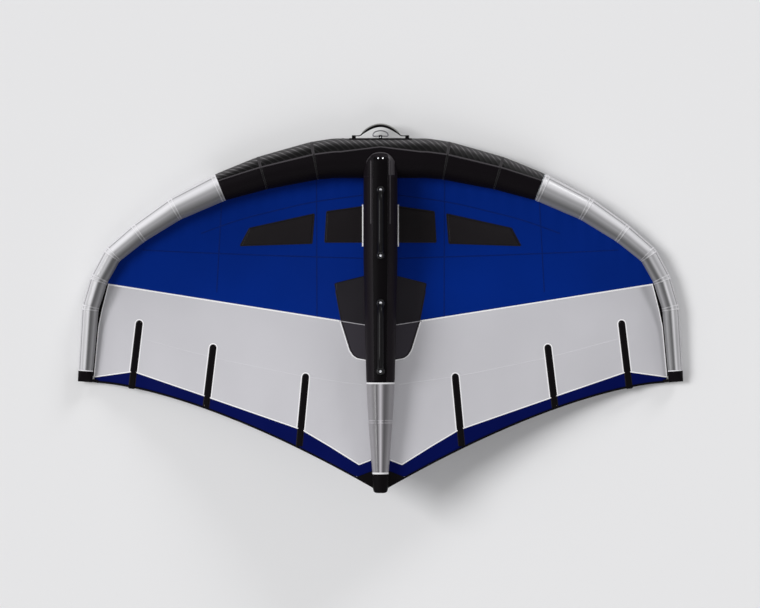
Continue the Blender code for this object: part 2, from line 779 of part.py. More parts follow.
def strip_outline(head, foot, width, round_head):
    """Outline of a straight strip, with a round head where asked for."""
    along = (foot - head).normalized()
    across = Vector((-along.y, along.x)) * width / 2
    outline = [foot - across, foot + across]
    if not round_head:
        return outline + [head + across, head - across]
    centre = head + along * width / 2
    for step in range(HEAD_POINTS):
        turn = math.pi * step / (HEAD_POINTS - 1)
        outline.append(centre + across * math.cos(turn) - along * width / 2 * math.sin(turn))
    return outline


def batten(number, head, foot, side):
    """A batten pocket sewn on the canopy, open at the trailing edge, with its batten inside."""
    along = (foot - head).normalized()
    past = foot + along * CUT_OVERRUN * 2
    top = FIT_GAP + POCKET_HEIGHT
    pocket = canopy_piece(f"batten_pocket_{number}",
                          strip_outline(head, past, POCKET_WIDTH, True), "webbing", side,
                          top, POCKET_HEIGHT)
    hollow_width = POCKET_WIDTH - 2 * POCKET_MARGIN
    hollow_height = POCKET_HEIGHT - 2 * POCKET_WALL
    name = side_name(f"pocket_hollow_{number}", side)
    hollow = add_cutter(name, slab_mesh(name, top - POCKET_WALL, hollow_height, side,
                                        CUT_OVERRUN))
    inner_head = head + along * POCKET_MARGIN
    shape = prism_mesh(name + "_outline",
                       mirrored(strip_outline(inner_head, past, hollow_width, False), side),
                       -HALF_SPAN, HALF_SPAN)
    boolean(hollow, add_cutter(name + "_outline", shape), "INTERSECT")
    boolean(pocket, hollow, "DIFFERENCE")
    rod_head = inner_head + along * FIT_GAP
    rod_foot = foot - along * BATTEN_END_GAP
    canopy_piece(f"batten_{number}",
                 strip_outline(rod_head, rod_foot, hollow_width - 2 * FIT_GAP, False),
                 "batten_rod", side, top - POCKET_WALL - FIT_GAP, hollow_height - 2 * FIT_GAP)


def battens(side):
    """Three battens on one half of the canopy, numbered from the strut outwards."""
    for number, shares in enumerate(BATTEN_SHARES, start=1):
        head, foot = plan(shares)
        batten(number, head, foot, side)


def strut_web():
    """Upright cloth web that joins the strut's underside to the canopy."""
    start = LE_RADIUS + WEB_START
    end = WEB_END_SHARE * ROOT_CHORD
    column = canopy_grid()[0]
    backs = -column[:, 1]
    heights = column[:, 2] + FIT_GAP

    def low(back):
        return float(np.interp(back, backs, heights))

    inner = [b for b in backs if start < b < end]
    lower = [(b, low(b)) for b in [start] + inner + [end]]
    kink = BLACK_RING_SHARES[1][0] * ROOT_CHORD
    upper = [(b, strut_bottom(b) - FIT_GAP) for b in (end, kink, start)]
    outline = [(-b, h) for b, h in lower + upper]
    shape = prism_mesh("strut_web", outline, -WEB_CLOTH / 2, WEB_CLOTH / 2)
    shape.transform(Matrix(((0, 0, 1, 0), (1, 0, 0, 0), (0, 1, 0, 0), (0, 0, 0, 1))))
    add_object("strut_web", shape, "black_cloth")


def strut_top(back):
    """Height of the handles' seat, on the outside of the strut's top panel."""
    apothem = strut_radius(back) * math.cos(math.pi / STRUT_SIDES) + FIT_GAP
    return strut_axis_height(back) + apothem + TOP_PANEL_CLOTH


def handle_frame(share):
    """Frame of a strut handle: its middle on the seat, X forward along the strut, Z away."""
    back = share * ROOT_CHORD
    reach = FRONT_HANDLE_PITCH / 4
    ahead = Vector((0, -(back - reach), strut_top(back - reach)))
    behind = Vector((0, -(back + reach), strut_top(back + reach)))
    along = (ahead - behind).normalized()
    across = Vector((-1, 0, 0))
    up = along.cross(across) * -1
    if up.z < 0:
        up = -up
    across = up.cross(along)
    frame = Matrix((along, across, up)).transposed().to_4x4()
    return Matrix.Translation((ahead + behind) / 2 + up * FIT_GAP) @ frame


def grip_path(pitch):
    """Points of a grip from one foot to the other, in the handle's frame."""
    lean = Vector((-math.cos(GRIP_LEAN), 0, math.sin(GRIP_LEAN)))
    foot = Vector((pitch / 2, 0, SOCKET_START))
    start = foot + lean * (SOCKET_LENGTH + FIT_GAP)
    rise = (GRIP_HEIGHT - SOCKET_START) / math.sin(GRIP_LEAN)
    corner = foot + lean * rise
    enter = corner - lean * GRIP_BEND
    leave = corner - Vector((GRIP_BEND, 0, 0))
    half = [start]
    for step in range(GRIP_BEND_POINTS + 1):
        t = step / GRIP_BEND_POINTS
        half.append(enter * (1 - t) ** 2 + corner * 2 * t * (1 - t) + leave * t * t)
    return half + [Vector((-p.x, 0, p.z)) for p in reversed(half)]


def tube_object(name, points, radius, finish, cyclic=False):
    """A round bar along a path, as a bevelled curve."""
    shape = bpy.data.curves.new(name, "CURVE")
    shape.dimensions = "3D"
    shape.bevel_depth = radius
    shape.bevel_resolution = 2
    shape.use_fill_caps = not cyclic
    line = shape.splines.new("POLY")
    line.points.add(len(points) - 1)
    for spot, point in zip(line.points, points):
        spot.co = (*point, 1)
    line.use_cyclic_u = cyclic
    shape.materials.append(material(finish))
    made = bpy.data.objects.new(name, shape)
    PARTS.objects.link(made)
    made.parent = ROOT
    return made


def handle_foot(name, frame, place, lean_side):
    """Cup that bolts a grip to the strut, with a socket that the grip comes out of."""
    profile = [(0, DISH_FLOOR), (DISH_RADIUS, DISH_FLOOR), (DISH_RADIUS, FOOT_HEIGHT - FOOT_LIP),
               (DISH_RADIUS + FOOT_LIP, FOOT_HEIGHT), (FOOT_TOP_RADIUS - FOOT_LIP, FOOT_HEIGHT),
               (FOOT_TOP_RADIUS, FOOT_HEIGHT - FOOT_LIP), (FOOT_RADIUS, FOOT_EDGE),
               (FOOT_RADIUS, 0), (0, 0)]
    foot = turned_object(name, profile, "handle_plastic", FOOT_STEPS, closed=False)
    spot = frame @ Matrix.Translation((place, 0, 0))
    foot.matrix_local = spot
    lean = Vector((-lean_side * math.cos(GRIP_LEAN), 0, math.sin(GRIP_LEAN)))
    base = Vector((0, 0, SOCKET_START))
    socket = add_cutter(name + "_socket", cylinder_mesh(name + "_socket", GRIP_RADIUS, base,
                                                       base + lean * SOCKET_LENGTH,
                                                       FOOT_STEPS))
    dish = add_cutter(name + "_dish", cylinder_mesh(name + "_dish", DISH_RADIUS,
                                                    (0, 0, DISH_FLOOR),
                                                    (0, 0, FOOT_HEIGHT + SOCKET_LENGTH),
                                                    FOOT_STEPS))
    for cutter, operation in ((socket, "UNION"), (dish, "DIFFERENCE")):
        cutter.matrix_local = spot
        boolean(foot, cutter, operation)


def strut_handle(base, share, pitch):
    """A handle on the strut: a grip between two bolted feet."""
    frame = handle_frame(share)
    grip = tube_object(base + "_handle_grip", grip_path(pitch), GRIP_RADIUS, "handle_foam")
    grip.matrix_local = frame
    handle_foot(base + "_handle_foot_front", frame, pitch / 2, 1)
    handle_foot(base + "_handle_foot_rear", frame, -pitch / 2, -1)


def nose_face():
    """Distance of the handle patch's outer face ahead of the leading edge's axis."""
    return LE_RADIUS * math.cos(math.pi / LE_SIDES) + FIT_GAP + HANDLE_PATCH_CLOTH


def handle_patch():
    """Reinforcement on the nose of the tube, with the handle's sewn ends and the leash tab."""
    rings = []
    for place in (-PATCH_HALF_LENGTH, PATCH_HALF_LENGTH):
        ring = le_ring(right_ring(0), FIT_GAP)
        ring[:, 0] = place
        rings.append(np.roll(ring, 2, axis=0)[:4])
    points, faces = loft(rings, closed_ring=False)
    name = "leading_handle_patch"
    patch = add_object(name, mesh_from(name, points, faces), "webbing")
    solidify(patch, HANDLE_PATCH_CLOTH, 1)
    face = nose_face()
    inner = STRAP_HALF_WIDTH + FIT_GAP
    for side in (1, -1):
        ends = sorted((side * inner, side * (inner + TAB_LENGTH)))
        low = (ends[0], face - UNION_BITE, LE_AXIS_HEIGHT - STRAP_ROOT_DEPTH)
        high = (ends[1], face + STRAP_STANDOFF + TAB_EDGE, LE_AXIS_HEIGHT + STRAP_ROOT_DEPTH)
        tab = side_name("strap_tab", side)
        boolean(patch, add_cutter(tab, box_mesh(tab, low, high)), "UNION")
    front = face + RING_STANDOFF + RING_ROD + RING_CLEARANCE + LEASH_TAB_WALL
    low = (-LEASH_TAB_HALF_WIDTH, face - UNION_BITE, LE_AXIS_HEIGHT - LEASH_TAB_DEPTH)
    high = (LEASH_TAB_HALF_WIDTH, front, LE_AXIS_HEIGHT + LEASH_TAB_DEPTH)
    boolean(patch, add_cutter("leash_tab", box_mesh("leash_tab", low, high)), "UNION")
    reach = LEASH_TAB_HALF_WIDTH + CUT_OVERRUN
    centre = (face + RING_STANDOFF, LE_AXIS_HEIGHT)
    bore = cylinder_mesh("leash_bore", RING_ROD + RING_CLEARANCE, (-reach, *centre),
                         (reach, *centre), LE_SIDES)
    boolean(patch, add_cutter("leash_bore", bore), "DIFFERENCE")


def carrying_strap():
    """Padded strap that arches ahead of the nose and swings about its sewn ends."""
    points = []
    for step in range(STRAP_POINTS):
        share = math.cos(math.pi * step / (STRAP_POINTS - 1))
        reach = STRAP_REACH * (1 - share * share) ** STRAP_ROUNDNESS
        depth = STRAP_ROOT_DEPTH + (STRAP_GRIP_DEPTH - STRAP_ROOT_DEPTH) * (1 - share ** 4)
        points.append((share * STRAP_ARCH_HALF_WIDTH, reach, depth))
    points[0] = (STRAP_HALF_WIDTH, 0, STRAP_ROOT_DEPTH)
    points.insert(1, (STRAP_ARCH_HALF_WIDTH, 0, STRAP_ROOT_DEPTH))
    points[-1] = (-STRAP_ARCH_HALF_WIDTH, 0, STRAP_ROOT_DEPTH)
    points.append((-STRAP_HALF_WIDTH, 0, STRAP_ROOT_DEPTH))
    rings = [np.array([(x, y, -d), (x, y, d)]) for x, y, d in points]
    name = "leading_handle_strap"
    vertices, faces = loft(rings, closed_ring=False)
    strap = add_object(name, mesh_from(name, vertices, faces), "webbing")
    solidify(strap, STRAP_CLOTH, 0)
    strap.location = (0, nose_face() + STRAP_STANDOFF, LE_AXIS_HEIGHT)


def leash_ring():
    """D-shaped ring for the leash, its straight bar in the tab's bore."""
    points = []
    for side in (1, -1):
        corner = []
        for step in range(RING_CORNER_POINTS):
            turn = math.pi / 2 * step / RING_CORNER_POINTS
            corner.append((RING_HALF_WIDTH - RING_CORNER + RING_CORNER * math.sin(turn),
                           RING_CORNER - RING_CORNER * math.cos(turn)))
        corner = [(side * x, y) for x, y in corner]
        points.append(corner if side > 0 else corner[::-1])
    front = []
    for step in range(RING_FRONT_POINTS):
        turn = math.pi * step / (RING_FRONT_POINTS - 1)
        front.append((RING_HALF_WIDTH * math.cos(turn),
                      RING_CORNER + RING_REACH * math.sin(turn)))
    path = points[0] + front + points[1]
    ring = tube_object("leash_ring", [(x, y, 0) for x, y in path], RING_ROD, "ring_metal", True)
    ring.location = (0, nose_face() + RING_STANDOFF, LE_AXIS_HEIGHT)


def valve_frame():
    """Frame of the valve: X along the span, Z out of the facet it sits on."""
    out = Vector((0, math.cos(VALVE_FACET), math.sin(VALVE_FACET)))
    along = Vector((1, 0, 0))
    across = out.cross(along)
    turn = Matrix((along, across, out)).transposed().to_4x4()
    face = out * LE_RADIUS * math.cos(math.pi / LE_SIDES)
    return Matrix.Translation(Vector((VALVE_X, 0, LE_AXIS_HEIGHT)) + face) @ turn


def valve_body(frame, casing, bladder):
    """Flanged valve neck through casing and bladder, with a lip that carries the cap."""
    flange_top = FIT_GAP + VALVE_FLANGE_THICKNESS
    rim = flange_top + VALVE_RIM
    profile = [(VALVE_BORE, rim), (VALVE_NECK, rim), (VALVE_NECK, flange_top),
               (VALVE_FLANGE, flange_top), (VALVE_FLANGE, FIT_GAP), (VALVE_NECK, FIT_GAP),
               (VALVE_NECK, -VALVE_DEPTH), (VALVE_BORE, -VALVE_DEPTH)]
    body = turned_object("valve_body", profile, "valve_plastic")
    body.matrix_local = frame
    lip = box_mesh("valve_lip", (VALVE_HINGE + FIT_GAP, -HINGE_TONGUE / 2, FIT_GAP),
                   (VALVE_HINGE + FIT_GAP + HINGE_LIP, HINGE_TONGUE / 2,
                    flange_top + HINGE_LIFT))
    lip_object = add_cutter("valve_lip", lip)
    lip_object.matrix_local = frame
    boolean(body, lip_object, "UNION")
    hole = add_cutter("valve_hole", cylinder_mesh("valve_hole", VALVE_NECK + FIT_GAP,
                                                  (0, 0, -VALVE_DEPTH), (0, 0, VALVE_DEPTH)))
    hole.matrix_local = frame
    boolean(casing, hole, "DIFFERENCE")
    boolean(bladder, hole, "DIFFERENCE")


def valve_insert(frame):
    """Plug that turns in the valve's neck, with a bar across its recess to turn it by."""
    top = FIT_GAP + VALVE_FLANGE_THICKNESS + VALVE_RIM - INSERT_TOP_DROP
    radius = VALVE_BORE - FIT_GAP
    floor = top - INSERT_RECESS
    profile = [(0, floor), (radius - INSERT_RIM, floor), (radius - INSERT_RIM, top),
               (radius, top), (radius, -VALVE_DEPTH + CASING_WALL),
               (0, -VALVE_DEPTH + CASING_WALL)]
    plug = turned_object("valve_insert", profile, "valve_plastic", closed=False)
    plug.matrix_local = frame
    reach = radius - INSERT_RIM / 2
    bar = add_cutter("insert_bar", box_mesh("insert_bar",
                                            (-reach, -INSERT_BAR / 2, floor - UNION_BITE),
                                            (reach, INSERT_BAR / 2, top - FIT_GAP)))
    bar.matrix_local = frame
    boolean(plug, bar, "UNION")


def valve_cap(frame):
    """Cap over the valve's rim, with a tongue that bends at the lip."""
    flange_top = FIT_GAP + VALVE_FLANGE_THICKNESS
    inner = VALVE_NECK + VALVE_CAP_CLEARANCE
    outer = inner + VALVE_CAP_WALL
    ceiling = flange_top + VALVE_RIM + FIT_GAP
    skirt_foot = flange_top + HINGE_LIFT - HINGE_THICKNESS
    profile = [(0, ceiling + VALVE_CAP_TOP), (outer - VALVE_CAP_TOP, ceiling + VALVE_CAP_TOP),
               (outer, ceiling), (outer, skirt_foot), (inner, skirt_foot),
               (inner, ceiling), (0, ceiling)]
    hinge = bpy.data.objects.new("valve_cap_hinge", None)
    PARTS.objects.link(hinge)
    hinge.parent = ROOT
    offset = Matrix.Translation((VALVE_HINGE, 0, flange_top + HINGE_LIFT))
    hinge.matrix_local = frame @ offset
    cap = turned_object("valve_cap", profile, "valve_plastic", closed=False)
    cap.parent = hinge
    cap.matrix_local = offset.inverted()
    tongue = add_cutter("cap_tongue", box_mesh(
        "cap_tongue", (outer - VALVE_CAP_WALL / 2, -HINGE_TONGUE / 2, skirt_foot),
        (VALVE_HINGE, HINGE_TONGUE / 2, flange_top + HINGE_LIFT)))
    tongue.matrix_local = frame
    boolean(cap, tongue, "UNION")


def valve(casing, bladder):
    """The inflation valve."""
    frame = valve_frame()
    valve_body(frame, casing, bladder)
    valve_insert(frame)
    valve_cap(frame)


def stand_on_origin():
    """Put the middle of the wing's footprint at the origin, with the ground at zero."""
    graph = bpy.context.evaluated_depsgraph_get()
    spread = []
    for item in PARTS.objects:
        if item.type != "EMPTY":
            solid = item.evaluated_get(graph)
            place = np.array(solid.matrix_world)
            points = np.array([v.co for v in solid.to_mesh().vertices])
            spread.append(points @ place[:3, :3].T + place[:3, 3])
            solid.to_mesh_clear()
    spread = np.concatenate(spread)
    low, high = spread.min(axis=0), spread.max(axis=0)
    ROOT.location = (-(low[0] + high[0]) / 2, -(low[1] + high[1]) / 2, -low[2])


def main():
    centre = leading_edge()
    bladder = le_bladder()
    strut()
    strut_top_panel()
    strut_air = strut_bladder()
    transfer_tube(centre, bladder, strut_air)
    for side in (1, -1):
        canopy(side)
        battens(side)
    strut_web()
    strut_handle("front", FRONT_HANDLE_SHARE, FRONT_HANDLE_PITCH)
    strut_handle("rear", REAR_HANDLE_SHARE, REAR_HANDLE_PITCH)
    handle_patch()
    carrying_strap()
    leash_ring()
    valve(centre, bladder)
    stand_on_origin()


main()
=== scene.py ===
"""Looks of an inflatable wingfoil wing, built round its packed frame.

The leading edge tube lies along X with its nose towards +Y, the strut runs back along -Y, and the
canopy hangs between them. Lengths are in metres. "Back" is the distance behind the leading edge's
axis in the wing's middle plane.
"""

import math

import bmesh
import bpy
import numpy as np
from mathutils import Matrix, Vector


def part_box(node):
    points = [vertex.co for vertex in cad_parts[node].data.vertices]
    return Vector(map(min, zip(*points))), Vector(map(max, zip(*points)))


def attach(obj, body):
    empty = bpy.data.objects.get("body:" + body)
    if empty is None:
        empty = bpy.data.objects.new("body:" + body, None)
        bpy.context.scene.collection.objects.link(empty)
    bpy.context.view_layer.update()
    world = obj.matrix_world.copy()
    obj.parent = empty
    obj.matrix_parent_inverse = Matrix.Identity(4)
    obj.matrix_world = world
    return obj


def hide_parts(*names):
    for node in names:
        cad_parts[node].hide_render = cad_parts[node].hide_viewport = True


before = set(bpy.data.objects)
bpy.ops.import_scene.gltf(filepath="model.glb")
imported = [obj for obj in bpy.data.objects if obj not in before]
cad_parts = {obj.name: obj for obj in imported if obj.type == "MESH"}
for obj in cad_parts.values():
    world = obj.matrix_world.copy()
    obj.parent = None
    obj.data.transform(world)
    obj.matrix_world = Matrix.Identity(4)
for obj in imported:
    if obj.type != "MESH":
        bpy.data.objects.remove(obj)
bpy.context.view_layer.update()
RIGHT = np.array([1.0, 0.0, 0.0])
UP = np.array([0.0, 0.0, 1.0])

bl_info = {
    "name": "Wingfoil wing",
    "version": (1, 0, 0),
    "blender": (4, 5, 0),
    "location": "3D View > Sidebar > Wing",
    "description": "Dresses the frame of an inflatable wing in cloth, seams, handles and fittings",
    "category": "Object",
}

# Sizes that the source of the frame has too
HALF_SPAN = 1.650
ROOT_CHORD = 1.818
LE_RADIUS = 0.109
LE_ARCH = 0.016
LE_SIDES = 24
LE_FLAT = math.cos(math.pi / LE_SIDES)
LE_RINGS = np.array([
    (0.1510, 0.0000, 1.000, 0.0), (0.2175, 0.0072, 0.970, 0.0), (0.3900, 0.0444, 0.855, 0.5),
    (0.5290, 0.0867, 0.713, 0.9), (0.6800, 0.1521, 0.605, 1.0), (0.8000, 0.2247, 0.520, 0.9),
    (0.8860, 0.2895, 0.475, 0.7), (0.9316, 0.3639, 0.450, 0.3), (0.9607, 0.4500, 0.430, 0.0),
    (0.9759, 0.6412, 0.370, 0.0)])
AXIS_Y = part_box("le_casing_center")[1].y - LE_RADIUS * LE_FLAT
AXIS_Z = LE_RADIUS * LE_FLAT
STRUT_RADIUS = 0.0935
STRUT_OFFSET = 0.052
STRUT_RISE = 0.134
TAIL_RISE = 0.126
STRUT_FLAT = math.cos(math.pi / 20)
STRUT_KINK = 0.6712 * ROOT_CHORD
STRUT_TABLE = np.array([(0.0102, 1.0), (0.0550, 1.0), (0.3111, 1.0), (0.6712, 0.834),
                        (0.7882, 0.706), (0.9442, 0.470), (0.9880, 0.435), (0.9970, 0.380),
                        (1.0000, 0.270)])
STRUT_SEAMS = np.array([0.0550, 0.6712, 0.7882, 0.9442]) * ROOT_CHORD
ATTACH_ANGLE = math.radians(217.5)
TRAILING_SPAN = 0.9421 * HALF_SPAN
TAIL_BACK = 0.998 * ROOT_CHORD
TIP_BACK = 0.6742 * ROOT_CHORD
SEAM = np.array([(0.0, 0.5060), (0.0512, 0.4984), (0.5306, 0.4300), (0.9025, 0.3765)])
ZIGZAG = np.array([(0.0, 0.8900), (0.0317, 0.9037), (0.0704, 0.9175), (0.1669, 0.8632),
                   (0.2572, 0.8150), (0.5750, 0.7160), (0.8177, 0.6412), (0.9504, 0.6580)])
TIP_BAND = np.array([(0.9025, 0.3765), (0.9240, 0.4551), (0.9355, 0.5061), (0.9504, 0.6580)])
PATCH_TOP = np.array([(0.0, 0.3450), (0.0562, 0.3537), (0.1547, 0.3759)])
PATCH_FOOT = np.array([(0.0, 0.6100), (0.0486, 0.6034), (0.0780, 0.5985), (0.0905, 0.5905),
                       (0.1010, 0.5758), (0.1319, 0.4863), (0.1547, 0.3759)])
OUTER_WINDOW = np.array([(0.2195, 0.1668), (0.4337, 0.2100), (0.2271, 0.2547), (0.4641, 0.2616)])
INNER_WINDOW = np.array([(0.0430, 0.1425), (0.1775, 0.1599), (0.0430, 0.2511), (0.1835, 0.2511)])
BATTENS = [((0.2463, 0.6472), (0.2678, 0.8632)), ((0.5527, 0.5602), (0.5769, 0.7492)),
           ((0.7977, 0.4881), (0.8238, 0.6922))]
HEM_WIDTH = 0.011
TAIL_PATCH = (0.128, 0.132)
HANDLES = {"front": (0.1948, 0.358), "rear": (0.5362, 0.371)}
GRIP_LEAN = math.radians(50.0)
GRIP_RADIUS = 0.0155
GRIP_HEIGHT = 0.068
GRIP_BEND = 0.030
GRIP_START = 0.0283
SOCKET_START = 0.0135
STRAP_ARCH = 0.111
NOSE_Y = AXIS_Y + LE_RADIUS * LE_FLAT + 0.0018
VALVE_SEAT = np.array((-0.205, AXIS_Y + LE_RADIUS * LE_FLAT * math.cos(math.radians(-30.0)),
                       AXIS_Z + LE_RADIUS * LE_FLAT * math.sin(math.radians(-30.0))))

# How the photograph's frame maps to the wing
METRES_A_PIXEL = 0.0054545
PHOTO_WIDTH = 760


def shown_light(values):
    """Light of the values that a screen shows, 0 to 255."""
    share = np.asarray(values, float) / 255
    return np.where(share < 0.04045, share / 12.92, ((share + 0.055) / 1.055) ** 2.4)


def screen(red, green, blue):
    """A colour from the values that a screen shows."""
    return tuple(shown_light((red, green, blue)))


def size_prop(name, text, default, low=0.0):
    """A length that a user may change."""
    return bpy.props.FloatProperty(name=name, description=text, default=default, min=low,
                                   max=0.1, precision=4, unit="LENGTH", subtype="DISTANCE")


def colour_prop(name, text, default):
    """A colour that a user may change."""
    return bpy.props.FloatVectorProperty(name=name, description=text, default=default, size=3,
                                         min=0.0, max=1.0, subtype="COLOR")


class WingSizes(bpy.types.PropertyGroup):
    """Sizes of the cloth work."""

    seam_pinch: size_prop("Seam pinch", "How deep a cross seam draws the tube in", 0.0014)
    pucker: size_prop("Pucker", "Depth of the puckers beside a cross seam", 0.0020)
    seam_width: size_prop("Seam width", "Width of the felled seams on the canopy", 0.009)
    tape_width: size_prop("Tape width", "Width of the double tapes round the grey tube", 0.026)
    stitch: size_prop("Stitch", "Distance from one stitch to the next", 0.0075, 0.002)
    thread: size_prop("Thread", "Radius of the sewing thread", 0.0006)
    wrinkle: size_prop("Wrinkle", "Height of the canopy's wrinkles", 0.0030)
    bolt: size_prop("Bolt", "Radius of the handles' bolt heads", 0.0098)


class WingColours(bpy.types.PropertyGroup):
    """Colours of the cloth, threads and fittings."""

    blue: colour_prop("Blue cloth", "Front panel of the canopy", screen(2, 37, 122))
    blue_seam: colour_prop("Blue seam", "Felled seams of the front panel", screen(3, 30, 102))
    white: colour_prop("White cloth", "Rear panel of the canopy", screen(193, 192, 197))
    white_seam: colour_prop("White seam", "Bright seams of the rear panel", screen(240, 239, 241))
    navy: colour_prop("Navy cloth", "Band along the trailing edge", screen(4, 13, 74))
    black: colour_prop("Black cloth", "Middle of the tube and strut", screen(20, 16, 20))
    grey: colour_prop("Grey cloth", "Lightest tone of the tube's outer parts",
                      screen(235, 234, 238))
    strut_grey: colour_prop("Strut grey", "Lightest tone of the strut's rear part",
                            screen(185, 182, 187))
    grey_tape: colour_prop("Grey tape", "Cross seams of the grey tube", screen(238, 237, 241))
    film: colour_prop("Film", "Windows", screen(27, 24, 26))
    patch: colour_prop("Patch", "Film patch beside the strut", screen(36, 34, 38))
    webbing: colour_prop("Webbing", "Hems, pockets and straps", screen(9, 7, 9))
    thread: colour_prop("Thread", "Sewing thread of the dark cloth", screen(64, 62, 66))


# ---------------------------------------------------------------- shapes as arrays of points


def unit(vectors):
    """Vectors scaled to length one."""
    return vectors / np.maximum(np.linalg.norm(vectors, axis=-1, keepdims=True), 1e-12)


def corner_numbers(rows, columns, wrap):
    """Corners of the quads of a grid: point numbers, rows and columns. Each quad's front looks
    along (step to the next row) x (step to the next column)."""
    across = columns if wrap else columns - 1
    i, j = (a.ravel() for a in np.meshgrid(np.arange(rows - 1), np.arange(across),
                                           indexing="ij"))
    row = np.stack([i, i + 1, i + 1, i], axis=1)
    column = np.stack([j, j, j + 1, j + 1], axis=1)
    return row * columns + column % columns, row, column


def mesh_of(name, points, corners, cloth=None):
    """A mesh from points and an array of faces; cloth holds each corner's place on the cloth."""
    mesh = bpy.data.meshes.new(name)
    mesh.vertices.add(len(points))
    mesh.vertices.foreach_set("co", np.ascontiguousarray(points, np.float32).ravel())
    mesh.loops.add(corners.size)
    mesh.loops.foreach_set("vertex_index", np.ascontiguousarray(corners, np.int32).ravel())
    mesh.polygons.add(len(corners))
    mesh.polygons.foreach_set("loop_start",
                              np.arange(0, corners.size, corners.shape[1], dtype=np.int32))
    mesh.update(calc_edges=True)
    if cloth is not None:
        layer = mesh.uv_layers.new(name="UVMap")
        layer.data.foreach_set("uv", np.ascontiguousarray(cloth, np.float32).ravel())
    mesh.validate()
    mesh.shade_smooth()
    return mesh


def sheet_part(grid, cloth, wrap=False, turn=False):
    """A grid of points as a part for joined_mesh. cloth is the flat place of each grid point,
    with one more column where the grid wraps round."""
    corners, row, column = corner_numbers(*grid.shape[:2], wrap)
    if turn:
        corners, row, column = corners[:, ::-1], row[:, ::-1], column[:, ::-1]
    return grid.reshape(-1, 3), corners, cloth[row, column]


def sheet_mesh(name, grid, cloth, wrap=False, turn=False):
    """A grid of points as a mesh."""
    return mesh_of(name, *sheet_part(grid, cloth, wrap, turn))


def joined_mesh(name, parts):
    """One mesh of several (points, corners, cloth) parts with the same number of corners."""
    points, corners, cloth = zip(*parts)
    starts = np.cumsum([0] + [len(p) for p in points[:-1]])
    corners = [c + start for c, start in zip(corners, starts)]
    return mesh_of(name, *(np.concatenate(all_of) for all_of in (points, corners, cloth)))


def mirrored(grid, side):
    """The grid on one side of the wing."""
    return grid * (side, 1, 1)


def flat_places(first, second):
    """Flat cloth coordinates from a row coordinate and a column coordinate."""
    a, b = np.meshgrid(first, second, indexing="ij")
    return np.stack([a, b], axis=-1)


def lengths_along(points):
    """Length of a line up to each of its points."""
    steps = np.linalg.norm(np.diff(points, axis=0), axis=1)
    return np.concatenate([[0.0], np.cumsum(steps)])


def evenly(points, step):
    """A line's points at an even distance near step, both ends kept."""
    run = lengths_along(points)
    count = max(2, int(round(run[-1] / step)) + 1)
    places = np.linspace(0, run[-1], count)
    return np.stack([np.interp(places, run, column) for column in points.T], axis=1)


def rounded_corners(points, reach, step):
    """A line with its corners rounded by a running mean, both ends kept."""
    fine = evenly(points, step)
    width = max(1, int(round(reach / step / 2)))
    padded = np.concatenate([2 * fine[0] - fine[width:0:-1], fine,
                             2 * fine[-1] - fine[-2:-width - 2:-1]])
    kernel = np.ones(2 * width + 1) / (2 * width + 1)
    mean = np.stack([np.convolve(column, kernel, "valid") for column in padded.T], axis=1)
    mean[0], mean[-1] = fine[0], fine[-1]
    return mean


def bar_along(path, section, up):
    """A section carried along a path: its first coordinate lies across and its second along up.
    section is (points, 2), or (path points, points, 2) where it changes on the way."""
    ahead = unit(np.gradient(path, axis=0))
    across = unit(np.cross(ahead, up))
    over = np.cross(across, ahead)
    section = np.broadcast_to(section, (len(path),) + section.shape[-2:])
    return (path[:, None] + across[:, None] * section[..., :1]
            + over[:, None] * section[..., 1:])


def round_angles(count):
    """Even angles of a whole turn, the last one a step short of the first."""
    return np.arange(count) * math.tau / count


def closed_turn(angles):
    """The angles of a turn with the first one again at the end, a whole turn on."""
    return np.append(angles, angles[0] + math.tau)


def round_section(count, radius, power=1.0, depth=None):
    """A ring of points: a circle, or nearer a rounded box where power is below one."""
    turn = round_angles(count)
    across, high = np.cos(turn), np.sin(turn)
    return np.stack([radius * np.sign(across) * abs(across) ** power,
                     (depth or radius) * np.sign(high) * abs(high) ** power], axis=1)


def bar_part(path, section, up):
    """A solid bar along a path as a part for joined_mesh, its ends closed by a shrunken ring."""
    grid = bar_along(path, section, up)
    middle = grid.mean(axis=1, keepdims=True)
    grid = np.concatenate([np.repeat(middle[:1], grid.shape[1], 1), grid,
                           np.repeat(middle[-1:], grid.shape[1], 1)])
    run = lengths_along(grid.mean(axis=1))
    ring = lengths_along(np.concatenate([grid[1], grid[1, :1]]))
    return sheet_part(grid, flat_places(run, ring), wrap=True)


def turned_part(profile, steps, origin, axis, start=None):
    """A profile of (radius, height) points turned about an axis as a part for joined_mesh."""
    axis = unit(np.asarray(axis, float))
    first = unit(np.cross(axis, (0.0, 1.0, 0.0) if abs(axis[1]) < 0.9 else (1.0, 0.0, 0.0))
                 if start is None else np.asarray(start, float))
    second = np.cross(axis, first)
    turn = round_angles(steps)
    radial = np.cos(turn)[:, None] * first + np.sin(turn)[:, None] * second
    profile = np.asarray(profile, float)
    grid = (np.asarray(origin) + profile[:, 1, None, None] * axis
            + profile[:, 0, None, None] * radial[None])
    run = lengths_along(profile)
    size = profile[:, 0].max()
    return sheet_part(grid, flat_places(run, closed_turn(turn) * size), wrap=True)


def welded(mesh):
    """The mesh with its doubled points merged and its faces turned outwards."""
    form = bmesh.new()
    form.from_mesh(mesh)
    bmesh.ops.remove_doubles(form, verts=form.verts, dist=1e-6)
    bmesh.ops.dissolve_degenerate(form, dist=1e-7, edges=form.edges)
    bmesh.ops.recalc_face_normals(form, faces=form.faces)
    form.to_mesh(mesh)
    form.free()
    mesh.shade_smooth()
    mesh.set_sharp_from_angle(angle=math.radians(42))
    return mesh


def solid(name, *parts):
    """One closed mesh of several parts."""
    return welded(joined_mesh(name, parts))


